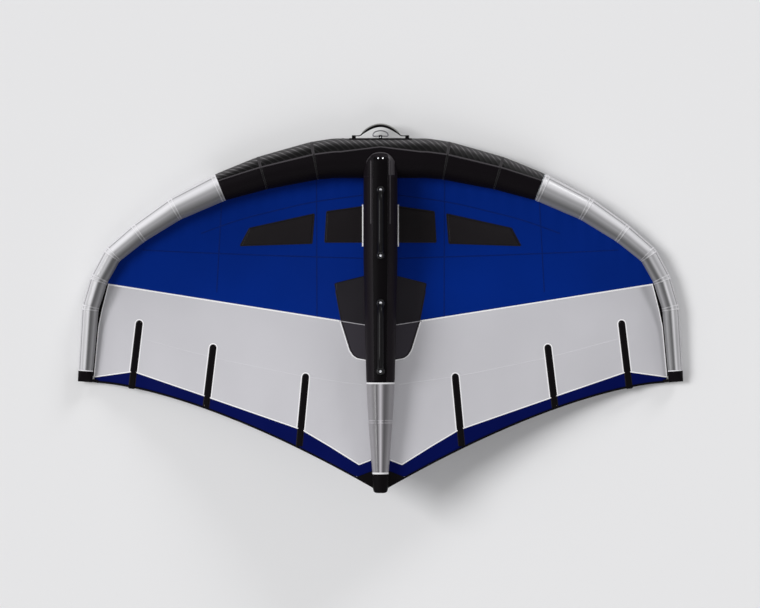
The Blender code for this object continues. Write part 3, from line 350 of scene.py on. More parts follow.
def set_values(mesh, name, values):
    """Store a value for each point of a grid."""
    layer = mesh.attributes.new(name, "FLOAT", "POINT")
    layer.data.foreach_set("value", np.ascontiguousarray(values, np.float32).ravel())


def set_painted_light(mesh, values):
    """Store how light a banded finish is at each point of a grid, from nought to one."""
    # The tone attribute carries painted light and shade, which the finishes that ask for it
    # multiply into their colour.
    set_values(mesh, "tone", values)


def combined(mesh, other, operation):
    """A closed mesh joined with another one or cut by it."""
    pair = [bpy.data.objects.new(m.name, m) for m in (mesh, other)]
    for made in pair:
        bpy.context.scene.collection.objects.link(made)
    step = pair[0].modifiers.new("cut", "BOOLEAN")
    step.operation, step.object, step.solver = operation, pair[1], "EXACT"
    graph = bpy.context.evaluated_depsgraph_get()
    result = bpy.data.meshes.new_from_object(pair[0].evaluated_get(graph))
    for made in pair:
        old = made.data
        bpy.data.objects.remove(made)
        bpy.data.meshes.remove(old)
    return result


def thread_parts(runs, radius):
    """Stitches along runs of (points, normals): each stitch is a flat spindle of eight faces
    that fills three quarters of the step from one point to the next and stands a little proud."""
    parts = []
    for points, normals in runs:
        middle = (points[1:] + points[:-1]) / 2
        ahead = points[1:] - points[:-1]
        normal = unit(normals[1:] + normals[:-1])
        side = unit(np.cross(normal, ahead))
        shape = np.stack([middle - ahead * 0.38, middle + ahead * 0.38,
                          middle + side * radius, middle - side * radius,
                          middle + normal * radius, middle - normal * radius], axis=1)
        faces = np.array([(0, 4, 2), (0, 3, 4), (0, 5, 3), (0, 2, 5), (1, 2, 4), (1, 4, 3),
                          (1, 3, 5), (1, 5, 2)])[:, ::-1]
        corners = (faces[None] + np.arange(len(middle))[:, None, None] * 6).reshape(-1, 3)
        parts.append((shape.reshape(-1, 3), corners, np.zeros(corners.shape + (2,))))
    return parts


# ---------------------------------------------------------------- making pieces


TAPE_WALL = 0.0004
CASING_WALL = 0.0012
CANOPY_WALL = 0.0010


def add_piece(name, mesh, labels, nodes=(), wall=0.0, offset=-1.0, body="wing"):
    """A piece that rides on a body, with its finishes, its wall and the nodes it stands for.
    labels is one finish's name or several; offset is -1 for a wall inside the surface."""
    piece = bpy.data.objects.new(name, mesh)
    bpy.context.scene.collection.objects.link(piece)
    for label in [labels] if isinstance(labels, str) else labels:
        mesh.materials.append(finish(label))
    if wall:
        step = piece.modifiers.new("wall", "SOLIDIFY")
        step.thickness = wall
        step.offset = offset
    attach(piece, body)
    if nodes:
        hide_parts(*nodes)
    return piece


def add_stitches(name, runs, label, share=1.0, body="wing"):
    """Sewn stitches along runs of (points, normals), as a piece of their own."""
    parts = thread_parts(runs, bpy.context.scene.wing_sizes.thread * share)
    return add_piece(name + "_stitches", joined_mesh(name + "_stitches", parts), label,
                     body=body)


def sides():
    """The two halves of the wing: a sign and a name's ending."""
    return (1, "_right"), (-1, "_left")


# ---------------------------------------------------------------- leading edge


LINE_STEP = 0.004
CORNER_LENGTH = 0.028
ROUND_SHARE = 0.994


def le_knots():
    """Ring centres and radii of the leading edge from the left tip to the right one."""
    x, back, size, arch = LE_RINGS.T
    radius = size * LE_RADIUS
    right = np.stack([x * HALF_SPAN, AXIS_Y - back * ROOT_CHORD,
                      radius * LE_FLAT + arch * LE_ARCH, radius], axis=1)
    return np.concatenate([right[::-1] * (-1, 1, 1, 1), right])


def le_line():
    """Centre line of the leading edge: straight runs between the ring centres, rounded by a
    running mean taken twice. Columns: place, x, y, z, radius, and the level outward direction."""
    knots = le_knots()
    run = lengths_along(knots[:, :3])
    pad = 4 * CORNER_LENGTH
    count = int(round((run[-1] + 2 * pad) / LINE_STEP))
    places = np.linspace(-pad, run[-1] + pad, count)
    ends = knots[1] - knots[0], knots[-1] - knots[-2]
    slopes = ends[0] / (run[1] - run[0]), ends[1] / (run[-1] - run[-2])
    rows = np.stack([np.interp(places, run, column) for column in knots.T], axis=1)
    rows += np.minimum(places, 0)[:, None] * slopes[0]
    rows += np.maximum(places - run[-1], 0)[:, None] * slopes[1]
    kernel = np.ones(int(CORNER_LENGTH / LINE_STEP) | 1)
    kernel /= kernel.sum()
    for _ in range(2):
        rows = np.stack([np.convolve(column, kernel, "same") for column in rows.T], axis=1)
    ahead = unit(np.gradient(rows[:, :2], axis=0))
    out = np.stack([-ahead[:, 1], ahead[:, 0]], axis=1)
    inside = (places > -1.5 * CORNER_LENGTH) & (places < run[-1] + 1.5 * CORNER_LENGTH)
    return np.column_stack([places, rows, out])[inside], run


LINE, KNOT_PLACES = le_line()
SEAM_KNOTS = [i for i in range(20) if i not in (9, 10)]
SEAM_PLACES = KNOT_PLACES[SEAM_KNOTS]


def line_at(place):
    """Centre x, y and z, radius, and level outward direction of the tube at a place along it."""
    return [np.interp(place, LINE[:, 0], column) for column in LINE[:, 1:].T]


def tube_radius(place):
    """Radius of the tube at a place along it."""
    return np.interp(place, LINE[:, 0], LINE[:, 4])


def knot(number, side=1):
    """Place along the line of a ring of the right half, or of its mirror image."""
    return KNOT_PLACES[10 + number] if side > 0 else KNOT_PLACES[9 - number]


def gathered(place, angle, pinch, pucker):
    """How far the cross seams draw the tube in: a groove at each, and puckers beside it that
    fade over a few centimetres and are deepest on the hollow side."""
    near = place[..., None] - SEAM_PLACES
    groove = pinch * np.exp(-(near / 0.011) ** 2).sum(axis=-1)
    phase = np.arange(len(SEAM_PLACES)) * 1.9
    waves = 0.5 + 0.5 * np.cos(15 * angle[..., None] + phase + 2.0 * np.sign(near))
    fade = np.exp(-abs(near) / 0.030) * (1 - np.exp(-(near / 0.012) ** 2))
    hollow = 0.25 + 0.75 * np.clip(-np.cos(angle), 0, 1)
    return -groove - pucker * hollow * (fade * waves).sum(axis=-1)


def tube_point(place, angle, lift=0.0, ground=0.0016):
    """Points of the tube's cloth: centre + (radius + lift) x (cos angle x outward + sin angle x
    up), no lower than ground."""
    sizes = bpy.context.scene.wing_sizes
    place, angle = np.broadcast_arrays(np.asarray(place, float), np.asarray(angle, float))
    x, y, z, radius, out_x, out_y = line_at(place)
    reach = radius * ROUND_SHARE + lift + gathered(place, angle, sizes.seam_pinch,
                                                   sizes.pucker)
    level = np.cos(angle) * reach
    high = np.maximum(z + np.sin(angle) * reach, ground)
    return np.stack([x + out_x * level, y + out_y * level, high], axis=-1)


def tube_places(start, end):
    """Places along a casing panel, closer together near its seams."""
    inner = [p for p in SEAM_PLACES if start - 1e-6 <= p <= end + 1e-6]
    even = np.linspace(start, end, int((end - start) / 0.010) + 2)
    near = np.concatenate([p + np.linspace(-0.03, 0.03, 13) for p in inner])
    places = np.unique(np.concatenate([even, near, inner]).round(6))
    return places[(places >= start) & (places <= end)]


RIB_SPACING, RIB_ACROSS, RIB_ALONG = 0.0260, 0.76, -0.65
RIB_RADIUS = RIB_SPACING / abs(RIB_ALONG) / math.tau


def tube_sheet(places):
    """Grid and flat cloth of a stretch of the tube. The cloth goes round the tube in a whole
    number of ribs, so that they meet where its ends do."""
    grid = tube_point(places[:, None], FULL_TURN[None])
    middle = round(tube_radius(places.mean()) / RIB_RADIUS) * RIB_RADIUS
    return grid, flat_places(places, closed_turn(FULL_TURN) * middle)


AROUND = 96
FULL_TURN = round_angles(AROUND) + math.pi / AROUND
RIB_EDGE = math.radians(58)
MIDDLE = (KNOT_PLACES[9] + KNOT_PLACES[10]) / 2

# Painted light and shade of the tube's cloth, as a screen shows them, from its front edge over the
# top to its rear
ACROSS = np.linspace(-1, 1, 21)
TUBE_PAINTED_LIGHT = {
    "inner": (215, 215, 205, 205, 218, 225, 216, 206, 182, 156, 148, 152, 140, 122, 106, 92, 86,
              100, 118, 130, 135),
    "bend": (215, 212, 210, 210, 205, 192, 172, 160, 165, 178, 178, 150, 110, 86, 80, 90, 110,
             128, 124, 115, 115),
    "outer": (200, 212, 220, 212, 196, 176, 170, 190, 215, 200, 135, 88, 80, 90, 106, 124, 146,
              152, 130, 120, 115),
    "ribbed": (44, 74, 80, 48, 24, 15, 18) + (18,) * 14}
# Painted light and shade of the strut's grey cloth, as a screen shows them, from its top out to
# its side
STRUT_PAINTED_LIGHT = (190, 160, 108, 90, 90, 104, 122, 140, 144, 142, 140)


def seam_angle(place):
    """Angle from the front of the black tube's upper seam: least at the wing's middle."""
    return np.radians(np.interp(abs(place - MIDDLE), (0, 0.105, 0.22, 0.36, 0.64, 0.90),
                                (56, 64, 72, 72, 70, 62)))


def painted_tube_light(place, angle):
    """Lightness of the grey cloth: bands that run along the tube, of their own kind on the inner
    panels, on the bend and on the outer panels, and an even tone on the underside."""
    out = abs(place - MIDDLE)
    inner, bend, outer = (np.interp(-np.cos(angle), ACROSS, TUBE_PAINTED_LIGHT[kind])
                          for kind in ("inner", "bend", "outer"))
    tone = np.where(out < knot(6) - MIDDLE, inner, np.where(out < knot(7) - MIDDLE, bend, outer))
    tone = tone + (200 - tone) * smooth_step(-2 * np.sin(angle))
    return shown_light(tone) / shown_light(235)


def second_finish_between(mesh, low, high):
    """Give a tube's faces from one angle up to another the piece's second finish."""
    angles = np.tile(FULL_TURN + math.pi / AROUND, len(mesh.polygons) // AROUND)
    inside = (angles - low) % math.tau < high - low
    mesh.polygons.foreach_set("material_index", inside.astype(np.int32))


def casing_panels():
    """The tube's panels: what ends their names, start, end, and whether the cloth is black."""
    panels = [("center", knot(1, -1), knot(1), True)]
    for side, ending in sides():
        for base, first, last in (("mid", 1, 3), ("outer", 3, 7), ("tip", 7, 9)):
            ends = sorted((knot(first, side), knot(last, side)))
            panels.append((base + ending, *ends, base == "mid"))
    return panels


def build_leading_edge(context):
    """Casing panels, lengthwise seams, cross tapes and stitches of the tube."""
    sizes = context.scene.wing_sizes
    made = {}
    for label, start, end, dark in casing_panels():
        name = "le_cloth_" + label
        places = tube_places(start, end)
        grid, cloth = tube_sheet(places)
        mesh = sheet_mesh(name, grid, cloth, wrap=True, turn=True)
        piece = add_piece(name, mesh, ("black cloth", "ribbed black cloth") if dark else
                          "grey cloth", ["le_casing_" + label], wall=CASING_WALL)
        if dark:
            middles = (places[1:] + places[:-1]) / 2
            second_finish_between(mesh, -RIB_EDGE, np.repeat(seam_angle(middles), AROUND))
            # The ribbed front's stored bands are a painted highlight near its front edge, darker
            # behind it and underneath.
            shown = np.interp(-np.cos(FULL_TURN), ACROSS, TUBE_PAINTED_LIGHT["ribbed"])
            shown = np.where(np.sin(FULL_TURN) < 0, 45, shown)
            set_painted_light(mesh, np.broadcast_to(shown_light(shown) / shown_light(95), grid.shape[:2]))
        else:
            # The grey panels carry painted highlight and shade bands along the tube.
            set_painted_light(mesh, painted_tube_light(places[:, None], FULL_TURN[None]))
        made[name] = piece, grid
    trims = {name: [] for name in made}
    for number, place in zip(SEAM_KNOTS, SEAM_PLACES):
        trims_of, tape = cross_tape(number, place, sizes)
        trims[trims_of].append(tape)
    for name, seam in lengthwise_seams(sizes):
        trims[name].append(seam)


def ring_of(number):
    """A knot's ring, from 0 beside the middle to 9 at the tip, and its side."""
    return (number - 10, 1) if number >= 10 else (9 - number, -1)


def panel_at(ring, side):
    """Name of the casing panel that a cross seam's tape is sewn on."""
    if ring == 1:
        return "le_cloth_center"
    ending = "_right" if side > 0 else "_left"
    return f"le_cloth_{'mid' if ring < 3 else 'outer' if ring < 7 else 'tip'}{ending}"


def cross_tape(number, place, sizes):
    """The tape round one cross seam: a band with a welt along each edge on the grey tube, and a
    single low welt on the black one and at the tube's end, with a row of stitches beside each
    welt."""
    ring, side = ring_of(number)
    dark = ring < 3
    single = dark or ring == 9
    width = 0.014 if dark else 0.010 if single else sizes.tape_width
    shift = side * width * (0.50 if ring == 3 else -0.50 if ring == 9 else 0)
    across = np.linspace(-0.5, 0.5, 17 if single else 25)
    places = place + shift + across * width
    welts = np.exp(-(across / 0.16) ** 2) if single else sum(
        np.exp(-((across - spot) / 0.085) ** 2) for spot in (-0.33, 0.33))
    edge = np.clip((0.5 - abs(across)) / 0.06, 0, 1)
    lift = (0.0003 + 0.0005 * edge + 0.0011 * welts)[:, None]
    grid = tube_point(places[:, None], FULL_TURN[None], lift, 0.0004)
    radius = tube_radius(place)
    cloth = flat_places(places - place, closed_turn(FULL_TURN) * radius)
    name = f"le_tape_{'right' if side > 0 else 'left'}_{ring}"
    mesh = sheet_mesh(name, grid, cloth, wrap=True, turn=True)
    if dark:
        # The ring tape is lighter where it crosses the ribbed cloth, carrying that cloth's painted
        # sheen.
        on_ribs = (FULL_TURN + RIB_EDGE) % math.tau < RIB_EDGE + seam_angle(place)
        set_painted_light(mesh, np.broadcast_to(np.where(on_ribs, 1.0, 0.2), grid.shape[:2]))
    else:
        # On the grey tube the tape carries the cloth's painted light and shade, lighter on its
        # welts as a painted highlight.
        tone = sum(painted_tube_light(place + step, FULL_TURN) for step in (-0.02, 0.02)) / 2
        set_painted_light(mesh, tone ** (1 - 0.55 * np.clip(welts, 0, 1))[:, None])
    label = "black ring tape" if dark else "rim tape" if single else "grey tape"
    tape = add_piece(name, mesh, label, wall=TAPE_WALL)
    rows = (-0.36, 0.36) if single else (-0.46, -0.18, 0.18, 0.46)
    turns = np.linspace(0, math.tau, int(math.tau * radius / sizes.stitch))
    runs = []
    for share in rows:
        spot = place + shift + share * width
        points = tube_point(spot, turns, 0.0010, 0.0008)
        centre = tube_point(spot, turns, -radius * 0.9, 0.0)
        runs.append((points, unit(points - centre)))
    add_stitches(name, runs, "dark thread" if dark else "light thread")
    return panel_at(ring, side), tape


def lengthwise_seams(sizes):
    """Welts along the tube: at both edges of the ribbed cloth on the black panels, and above and
    below the front on the grey ones."""
    made = []
    for panel, start, end, dark in casing_panels():
        name = "le_cloth_" + panel
        angles = (RIB_EDGE, -RIB_EDGE) if dark else np.radians((37, -60))
        middle = (start + end) / 2
        radius = tube_radius(middle)
        parts, runs = [], []
        places = tube_places(start, end)
        half = 0.0035 / radius
        even = np.linspace(start, end, int((end - start) / sizes.stitch))
        for level in angles:
            upper = dark and level > 0
            angle = (seam_angle(places) if upper else np.full(len(places), level))[:, None]
            spots = seam_angle(even) if upper else level
            across = np.linspace(-1, 1, 9)
            lift = 0.0002 + (0.0011 if dark else 0.0009) * (1 - across ** 2) ** 0.6
            grid = tube_point(places[:, None], angle + across * half, lift[None], 0.0009)
            parts.append(sheet_part(grid, flat_places(places, across * half * radius),
                                    turn=True))
            for offset in (-1.5, 1.5):
                points = tube_point(even, spots + offset * half, 0.0004)
                inner = tube_point(even, spots + offset * half, -radius * 0.9)
                runs.append((points, unit(points - inner)))
        label = name.replace("cloth", "welt")
        welt = add_piece(label, joined_mesh(label, parts), "black welt" if dark else "grey welt",
                         wall=TAPE_WALL)
        add_stitches(label, runs, "dark thread" if dark else "light thread")
        made.append((name, welt))
    return made


def build_tip_caps(context):
    """Caps that close the tube's ends: the tube's section pinched flat along its run, with a
    closed lip."""
    for side, ending in sides():
        end = knot(9)
        x, y, z, radius, out_x, out_y = line_at(end)
        out = np.array([out_x, out_y, 0.0])
        ahead = np.array([out_y, -out_x, 0.0])
        length = 0.6712 * ROOT_CHORD - (AXIS_Y - y)
        share = np.concatenate([np.linspace(-0.08, 0.92, 22), 0.92 + 0.08 * np.sin(
            np.linspace(0.1, 1, 9) * math.pi / 2)])
        fall = np.clip(share, 0, 1)
        flat = 1 - 0.80 * fall ** 1.4
        lip = np.sqrt(np.clip(1 - ((share - 0.92) / 0.08).clip(0, 1) ** 2, 0, 1))
        turn = FULL_TURN
        creases = 0.0012 * (fall * (1 - fall) * 4)[:, None] * np.cos(9 * turn + 0.8)[None]
        reach = radius * ROUND_SHARE + 0.0006 - creases.clip(0)
        level = np.cos(turn)[None] * reach * (1 - 0.03 * fall)[:, None]
        high = np.sin(turn)[None] * reach * (flat * lip)[:, None]
        grid = (np.array([x, y, z]) + ahead * (share * length)[:, None, None]
                + out * level[..., None] + np.array([0, 0, 1.0]) * high[..., None])
        grid[..., 2] = np.maximum(grid[..., 2], 0.0010)
        cloth = flat_places(share * length, closed_turn(turn) * radius)
        name = "wingtip_cloth" + ending
        mesh = welded(sheet_mesh(name, mirrored(grid, side), cloth, wrap=True, turn=side > 0))
        piece = add_piece(name, mesh, "black cloth", ["wingtip_cap" + ending],
                          wall=0.0010)


# ---------------------------------------------------------------- strut


def strut_axis(back):
    """Height of the strut's axis: it rises evenly to the kink and faster behind it."""
    start = AXIS_Z + STRUT_OFFSET
    front = start + STRUT_RISE * back / STRUT_KINK
    rear = start + STRUT_RISE + TAIL_RISE * (back - STRUT_KINK) / (ROOT_CHORD - STRUT_KINK)
    return np.where(back < STRUT_KINK, front, rear)


NOSE_DOME = 0.0649


def strut_size(back, pinch=0.0):
    """Radius of the strut: straight tapers between its rings, a round dome at the nose, and a
    shallow groove at each cross seam."""
    size = np.interp(back, STRUT_TABLE[:, 0] * ROOT_CHORD, STRUT_TABLE[:, 1]) * STRUT_RADIUS
    size = size * STRUT_FLAT + 0.0002
    start = STRUT_TABLE[0, 0] * ROOT_CHORD
    dome = np.clip((start - back) / NOSE_DOME, 0, 1)
    near = back[..., None] - STRUT_SEAMS
    return size * np.sqrt(1 - dome ** 2) - pinch * np.exp(-(near / 0.010) ** 2).sum(axis=-1)


def strut_point(back, angle, lift, pinch=0.0):
    """Points of the strut's cloth, the angle from the top towards +X."""
    back, angle = np.broadcast_arrays(np.asarray(back, float), np.asarray(angle, float))
    size = strut_size(back, pinch) + lift
    return np.stack([np.sin(angle) * size, AXIS_Y - back, strut_axis(back)
                     + np.cos(angle) * size], axis=-1)


def strut_rings(backs, size, turn):
    """Rings of cloth round the strut's axis, each of its own radius."""
    return np.stack([np.sin(turn)[None] * size[:, None],
                     np.broadcast_to(AXIS_Y - backs[:, None], (len(backs), len(turn))),
                     strut_axis(backs)[:, None] + np.cos(turn)[None] * size[:, None]], axis=-1)


def saddle_start(angle):
    """Where a lengthwise line of the strut comes out of the tube."""
    backs = np.arange(-0.046, 0.125, 0.00025)
    points = strut_point(backs[None], angle[:, None], 0.0)
    reach = np.hypot(points[..., 1] - AXIS_Y, points[..., 2] - AXIS_Z)
    inside = reach < LE_RADIUS * ROUND_SHARE + 0.0004
    last = inside.shape[1] - 1 - np.argmax(inside[:, ::-1], axis=1)
    return np.where(inside.any(axis=1), backs[np.minimum(last + 1, len(backs) - 1)], backs[0])


def strut_sheet(start, end, count, angles, pinch, saddle):
    """Grid and flat cloth of a stretch of the strut. Its front is cut to sit on the tube where a
    saddle line is given, and its rows lie closer together at the seams where none is."""
    first = np.full(len(angles), float(start))
    share = np.linspace(0, 1, count)
    if saddle is None:
        seams = np.concatenate([(s + np.linspace(-0.024, 0.024, 9) - start) / (end - start)
                                for s in STRUT_SEAMS])
        share = np.unique(np.concatenate([share, seams[(seams > 0) & (seams < 1)]]).round(6))
    else:
        first = np.minimum(np.maximum(first, saddle), end - 0.003)
    backs = first[None] + (end - first)[None] * share[:, None]
    return strut_point(backs, angles[None], 0.0, pinch), flat_places(
        start + (end - start) * share, closed_turn(angles) * STRUT_RADIUS)


def build_strut(context):
    """Casing panels of the strut, its top strip, seam tapes, studs, tail cap and web."""
    sizes = context.scene.wing_sizes
    angles = round_angles(AROUND)
    turn = np.roll(np.where(angles > math.pi, angles - math.tau, angles), 48)
    saddle = saddle_start(turn)
    nose_end, kink, _, tail = STRUT_SEAMS
    trims = strut_tapes(sizes, turn)
    strut_welts(trims)
    trims["strut_nose"] = nose_facets()
    for label, node_name, start, end, count in (
            ("nose", "strut_nose", -0.05, nose_end, 26),
            ("black", "strut_casing_black", nose_end, kink, 110),
            ("grey", "strut_casing_grey", kink, tail, 60)):
        dark = label != "grey"
        name = f"strut_{label}_cloth"
        grid, cloth = strut_sheet(start, end, count, turn, sizes.seam_pinch,
                                  saddle if dark else None)
        mesh = sheet_mesh(name, grid, cloth, wrap=True)
        if not dark:
            set_painted_light(mesh, np.broadcast_to(painted_strut_light(turn), grid.shape[:2]))
        piece = add_piece(name, mesh, f"strut {'black' if dark else 'grey'} cloth",
                          [node_name], wall=CASING_WALL)
    tail_cap(turn, tail)
    top_strip(sizes)
    studs()
    strut_web()


def painted_strut_light(angle):
    """Lightness of the strut's grey cloth: bands along it, brightest on top, even below."""
    shown = np.interp(abs(np.sin(angle)), np.linspace(0, 1, 11), STRUT_PAINTED_LIGHT)
    return shown_light(np.where(np.cos(angle) < 0, 138, shown)) / shown_light(185)


def tail_cap(turn, start):
    """Cap on the strut's end: the strut's taper, closed by a round-edged face."""
    size = STRUT_TABLE[-1, 0] * ROOT_CHORD
    backs = np.concatenate([np.linspace(start, size - 0.012, 14), np.full(8, size)])
    scale = np.ones(len(backs))
    bow = np.linspace(0, 1, 9)[1:]
    backs[14:] = size - 0.012 + 0.0118 * np.sin(bow * math.pi / 2)
    scale[14:] = np.cos(bow * math.pi / 2) * 0.6 + 0.4
    scale[-1] = 0.0
    base = strut_size(np.minimum(backs, size - 0.012)) * scale
    grid = strut_rings(backs, base, turn)
    ring = closed_turn(turn) * STRUT_RADIUS
    mesh = welded(sheet_mesh("strut_tail_cloth", grid, flat_places(backs, ring), wrap=True))
    piece = add_piece("strut_tail_cloth", mesh, "black webbing", ["strut_tail_cap"],
                      wall=CASING_WALL)


def top_strip(sizes):
    """Reinforcement along the strut's top, with a row of stitches inside each edge."""
    half = math.radians(27)
    angles = np.linspace(-half, half, 25)
    backs = np.linspace(-0.004, STRUT_KINK - 0.001, 120)
    edge = np.clip((1 - abs(angles / half)) / 0.06, 0, 1)
    grid = strut_point(backs[:, None], angles[None], (0.0004 + 0.0008 * edge)[None])
    name = "strut_strip"
    mesh = sheet_mesh(name, grid, flat_places(backs, angles * STRUT_RADIUS))
    strip = add_piece(name, mesh, "smooth black strip", ["strut_top_panel"],
                      wall=TAPE_WALL)
    runs = []
    for share in (-0.93, 0.93):
        line = strut_point(np.arange(backs[0], backs[-1], sizes.stitch), half * share, 0.0012)
        normal = np.broadcast_to((math.sin(half * share), 0, math.cos(half * share)), line.shape)
        runs.append((line, normal))
    stitches = add_stitches(name, runs, "dark thread")


def strut_tapes(sizes, turn):
    """Bands round the strut's cross seams, as pieces listed by the casing node under them."""
    made = {"strut_nose": [], "strut_casing_black": [], "strut_casing_grey": []}
    for number, (width, shift, label, node_name) in enumerate((
            (0.010, 0.0, "black tape", "strut_casing_black"),
            (0.009, 0.5, "rim tape", "strut_casing_grey"),
            (0.022, 0.0, "strut grey tape", "strut_casing_grey"),
            (0.010, -0.5, "rim tape", "strut_casing_grey"))):
        across = np.linspace(-0.5, 0.5, 17)
        welts = (sum(np.exp(-((across - s) / 0.10) ** 2) for s in (-0.32, 0.32))
                 if number == 2 else np.exp(-(across / 0.25) ** 2))
        lift = 0.0003 + 0.0004 * np.clip((0.5 - abs(across)) / 0.06, 0, 1) + 0.0010 * welts
        backs = STRUT_SEAMS[number] + (across + shift) * width
        grid = strut_point(backs[:, None], turn[None], lift[:, None], sizes.seam_pinch)
        name = f"strut_tape_{number + 1}"
        ring = closed_turn(turn) * STRUT_RADIUS
        if number == 0:
            keep = abs(turn) < math.radians(118)
            mesh = sheet_mesh(name, grid[:, keep],
                              flat_places(across * width, turn[keep] * STRUT_RADIUS))
        else:
            mesh = sheet_mesh(name, grid, flat_places(across * width, ring), wrap=True)
            # Grey tapes carry the strut's painted light and shade, lighter on their welts as a
            # painted highlight.
            set_painted_light(mesh, painted_strut_light(turn) ** (1 - 0.55 * np.clip(welts, 0, 1))[:, None])
        made[node_name].append(add_piece(name, mesh, label, wall=TAPE_WALL))
    return made


def strut_welts(trims):
    """Lengthwise welts on the strut: low half-round bands at an even angle on each side of the
    top, beside the strip at the front and closer together on the grey part."""
    # The pale colour of the welts beside the strip is a painted highlight on real welts.
    for node_name, degrees, first, last, width, label in (
            ("strut_casing_black", 35, 0.014, 0.36, 0.0085, "strut welt"),
            ("strut_casing_grey", 17, STRUT_SEAMS[1] + 0.010, STRUT_SEAMS[3] - 0.011, 0.0060,
             "strut grey welt")):
        backs = np.linspace(first, last, 90)
        across = np.linspace(-1, 1, 9)
        parts = []
        for side in (-1, 1):
            half = width / 2 / strut_size(backs)[:, None]
            angles = side * math.radians(degrees) + across[None] * half
            lift = 0.0002 + 0.0010 * (1 - across ** 2) ** 0.6
            grid = strut_point(backs[:, None], angles, lift[None])
            parts.append(sheet_part(grid, flat_places(backs, across * width / 2)))
        name = label.replace(" ", "_")
        trims[node_name].append(add_piece(name, joined_mesh(name, parts), label, wall=TAPE_WALL))


def nose_facets():
    """Smooth patch on each flank of the strut's nose, from the strip out to the side and from a
    slanted front edge, where a pale welt lies, back to the cross seam."""
    degrees = np.linspace(29, 56, 15)
    made = []
    for side, ending in sides():
        angles = side * np.radians(degrees)
        slanted = np.interp(degrees, (29, 53), (-0.034, 0.0147))
        first = np.maximum(slanted, saddle_start(angles) + 0.0015)
        share = np.linspace(0, 1, 30)[:, None]
        backs = first + (STRUT_SEAMS[0] - 0.006 - first) * share
        grid = strut_point(backs, angles, 0.0007)
        name = "strut_nose_facet" + ending
        mesh = sheet_mesh(name, grid, flat_places(share[:, 0] * 0.1, angles * STRUT_RADIUS),
                          turn=side < 0)
        facet = add_piece(name, mesh, "nose facet" + ending.replace("_", " "),
                          wall=TAPE_WALL)
        made.append(facet)
    # Welt along the nose's slanted front edge; its pale colour is a painted highlight.
    angles = np.radians(np.linspace(-56, 56, 57))
    first = np.interp(abs(angles), np.radians((0, 29, 53)), (-0.0350, -0.034, 0.0147))
    first = np.maximum(first, saddle_start(angles) + 0.0015)
    across = np.linspace(-1, 1, 7)
    lift = 0.0007 + 0.0011 * (1 - across ** 2) ** 0.6
    grid = strut_point(first[:, None] + 0.003 + across * 0.0030, angles[:, None], lift[None])
    places = flat_places(angles * STRUT_RADIUS, across * 0.003)
    mesh = sheet_mesh("strut_nose_edge", grid, places, turn=True)
    return made + [add_piece("strut_nose_edge", mesh, "nose edge", wall=TAPE_WALL)]


def studs():
    """Two domed rivets on the strip at the nose."""
    profile = [(0.0, -0.0006), (0.0050, -0.0006), (0.0050, 0.0004), (0.0046, 0.0010),
               (0.0034, 0.0019), (0.0018, 0.0024), (0.0, 0.0026)]
    parts = []
    for x in (-0.0123, 0.0123):
        back = np.array(0.0020)
        angle = math.asin(x / float(strut_size(back)))
        spot = strut_point(back, angle, 0.0012)
        parts.append(turned_part(profile, 24, spot, (math.sin(angle), 0.25, math.cos(angle))))
    mesh = solid("strut_studs", *parts)
    add_piece("strut_studs", mesh, "polished steel")


def strut_web():
    """Upright cloth between the strut's underside and the canopy."""
    backs = np.linspace(LE_RADIUS + 0.004, 0.60 * ROOT_CHORD, 90)
    low = canopy_height(np.zeros(90), backs) + 0.0002
    high = strut_axis(backs) - strut_size(backs) - 0.0001
    share = np.linspace(0, 1, 12)
    ripple = 0.0008 * np.sin(backs * math.tau / 0.07)[:, None] * np.sin(math.pi * share)[None]
    heights = low[:, None] + (high - low)[:, None] * share[None]
    grid = np.stack([ripple, np.broadcast_to(AXIS_Y - backs[:, None], heights.shape), heights],
                    axis=-1)
    mesh = sheet_mesh("strut_web_cloth", grid, flat_places(backs, share * 0.1))
    piece = add_piece("strut_web_cloth", mesh, "black cloth", ["strut_web"],
                      wall=0.0010, offset=0.0)


# ---------------------------------------------------------------- canopy


def trailing_back(x):
    """Distance back of the trailing edge at a place along the span."""
    share = np.clip(1 - x / TRAILING_SPAN, 0, 1)
    return ROOT_CHORD * (0.6742 + (0.9980 - 0.6742) * share ** 1.5)


def attach_table():
    """Front edge of the canopy on the tube, from the middle to the right tip."""
    places = np.linspace(MIDDLE, KNOT_PLACES[-1], 500)
    x, y, z, radius, out_x, out_y = line_at(places)
    reach = radius * ROUND_SHARE - 0.0010
    level = math.cos(ATTACH_ANGLE) * reach
    return np.stack([x + out_x * level, AXIS_Y - y - out_y * level,
                     z + math.sin(ATTACH_ANGLE) * reach], axis=1)


ATTACH = attach_table()


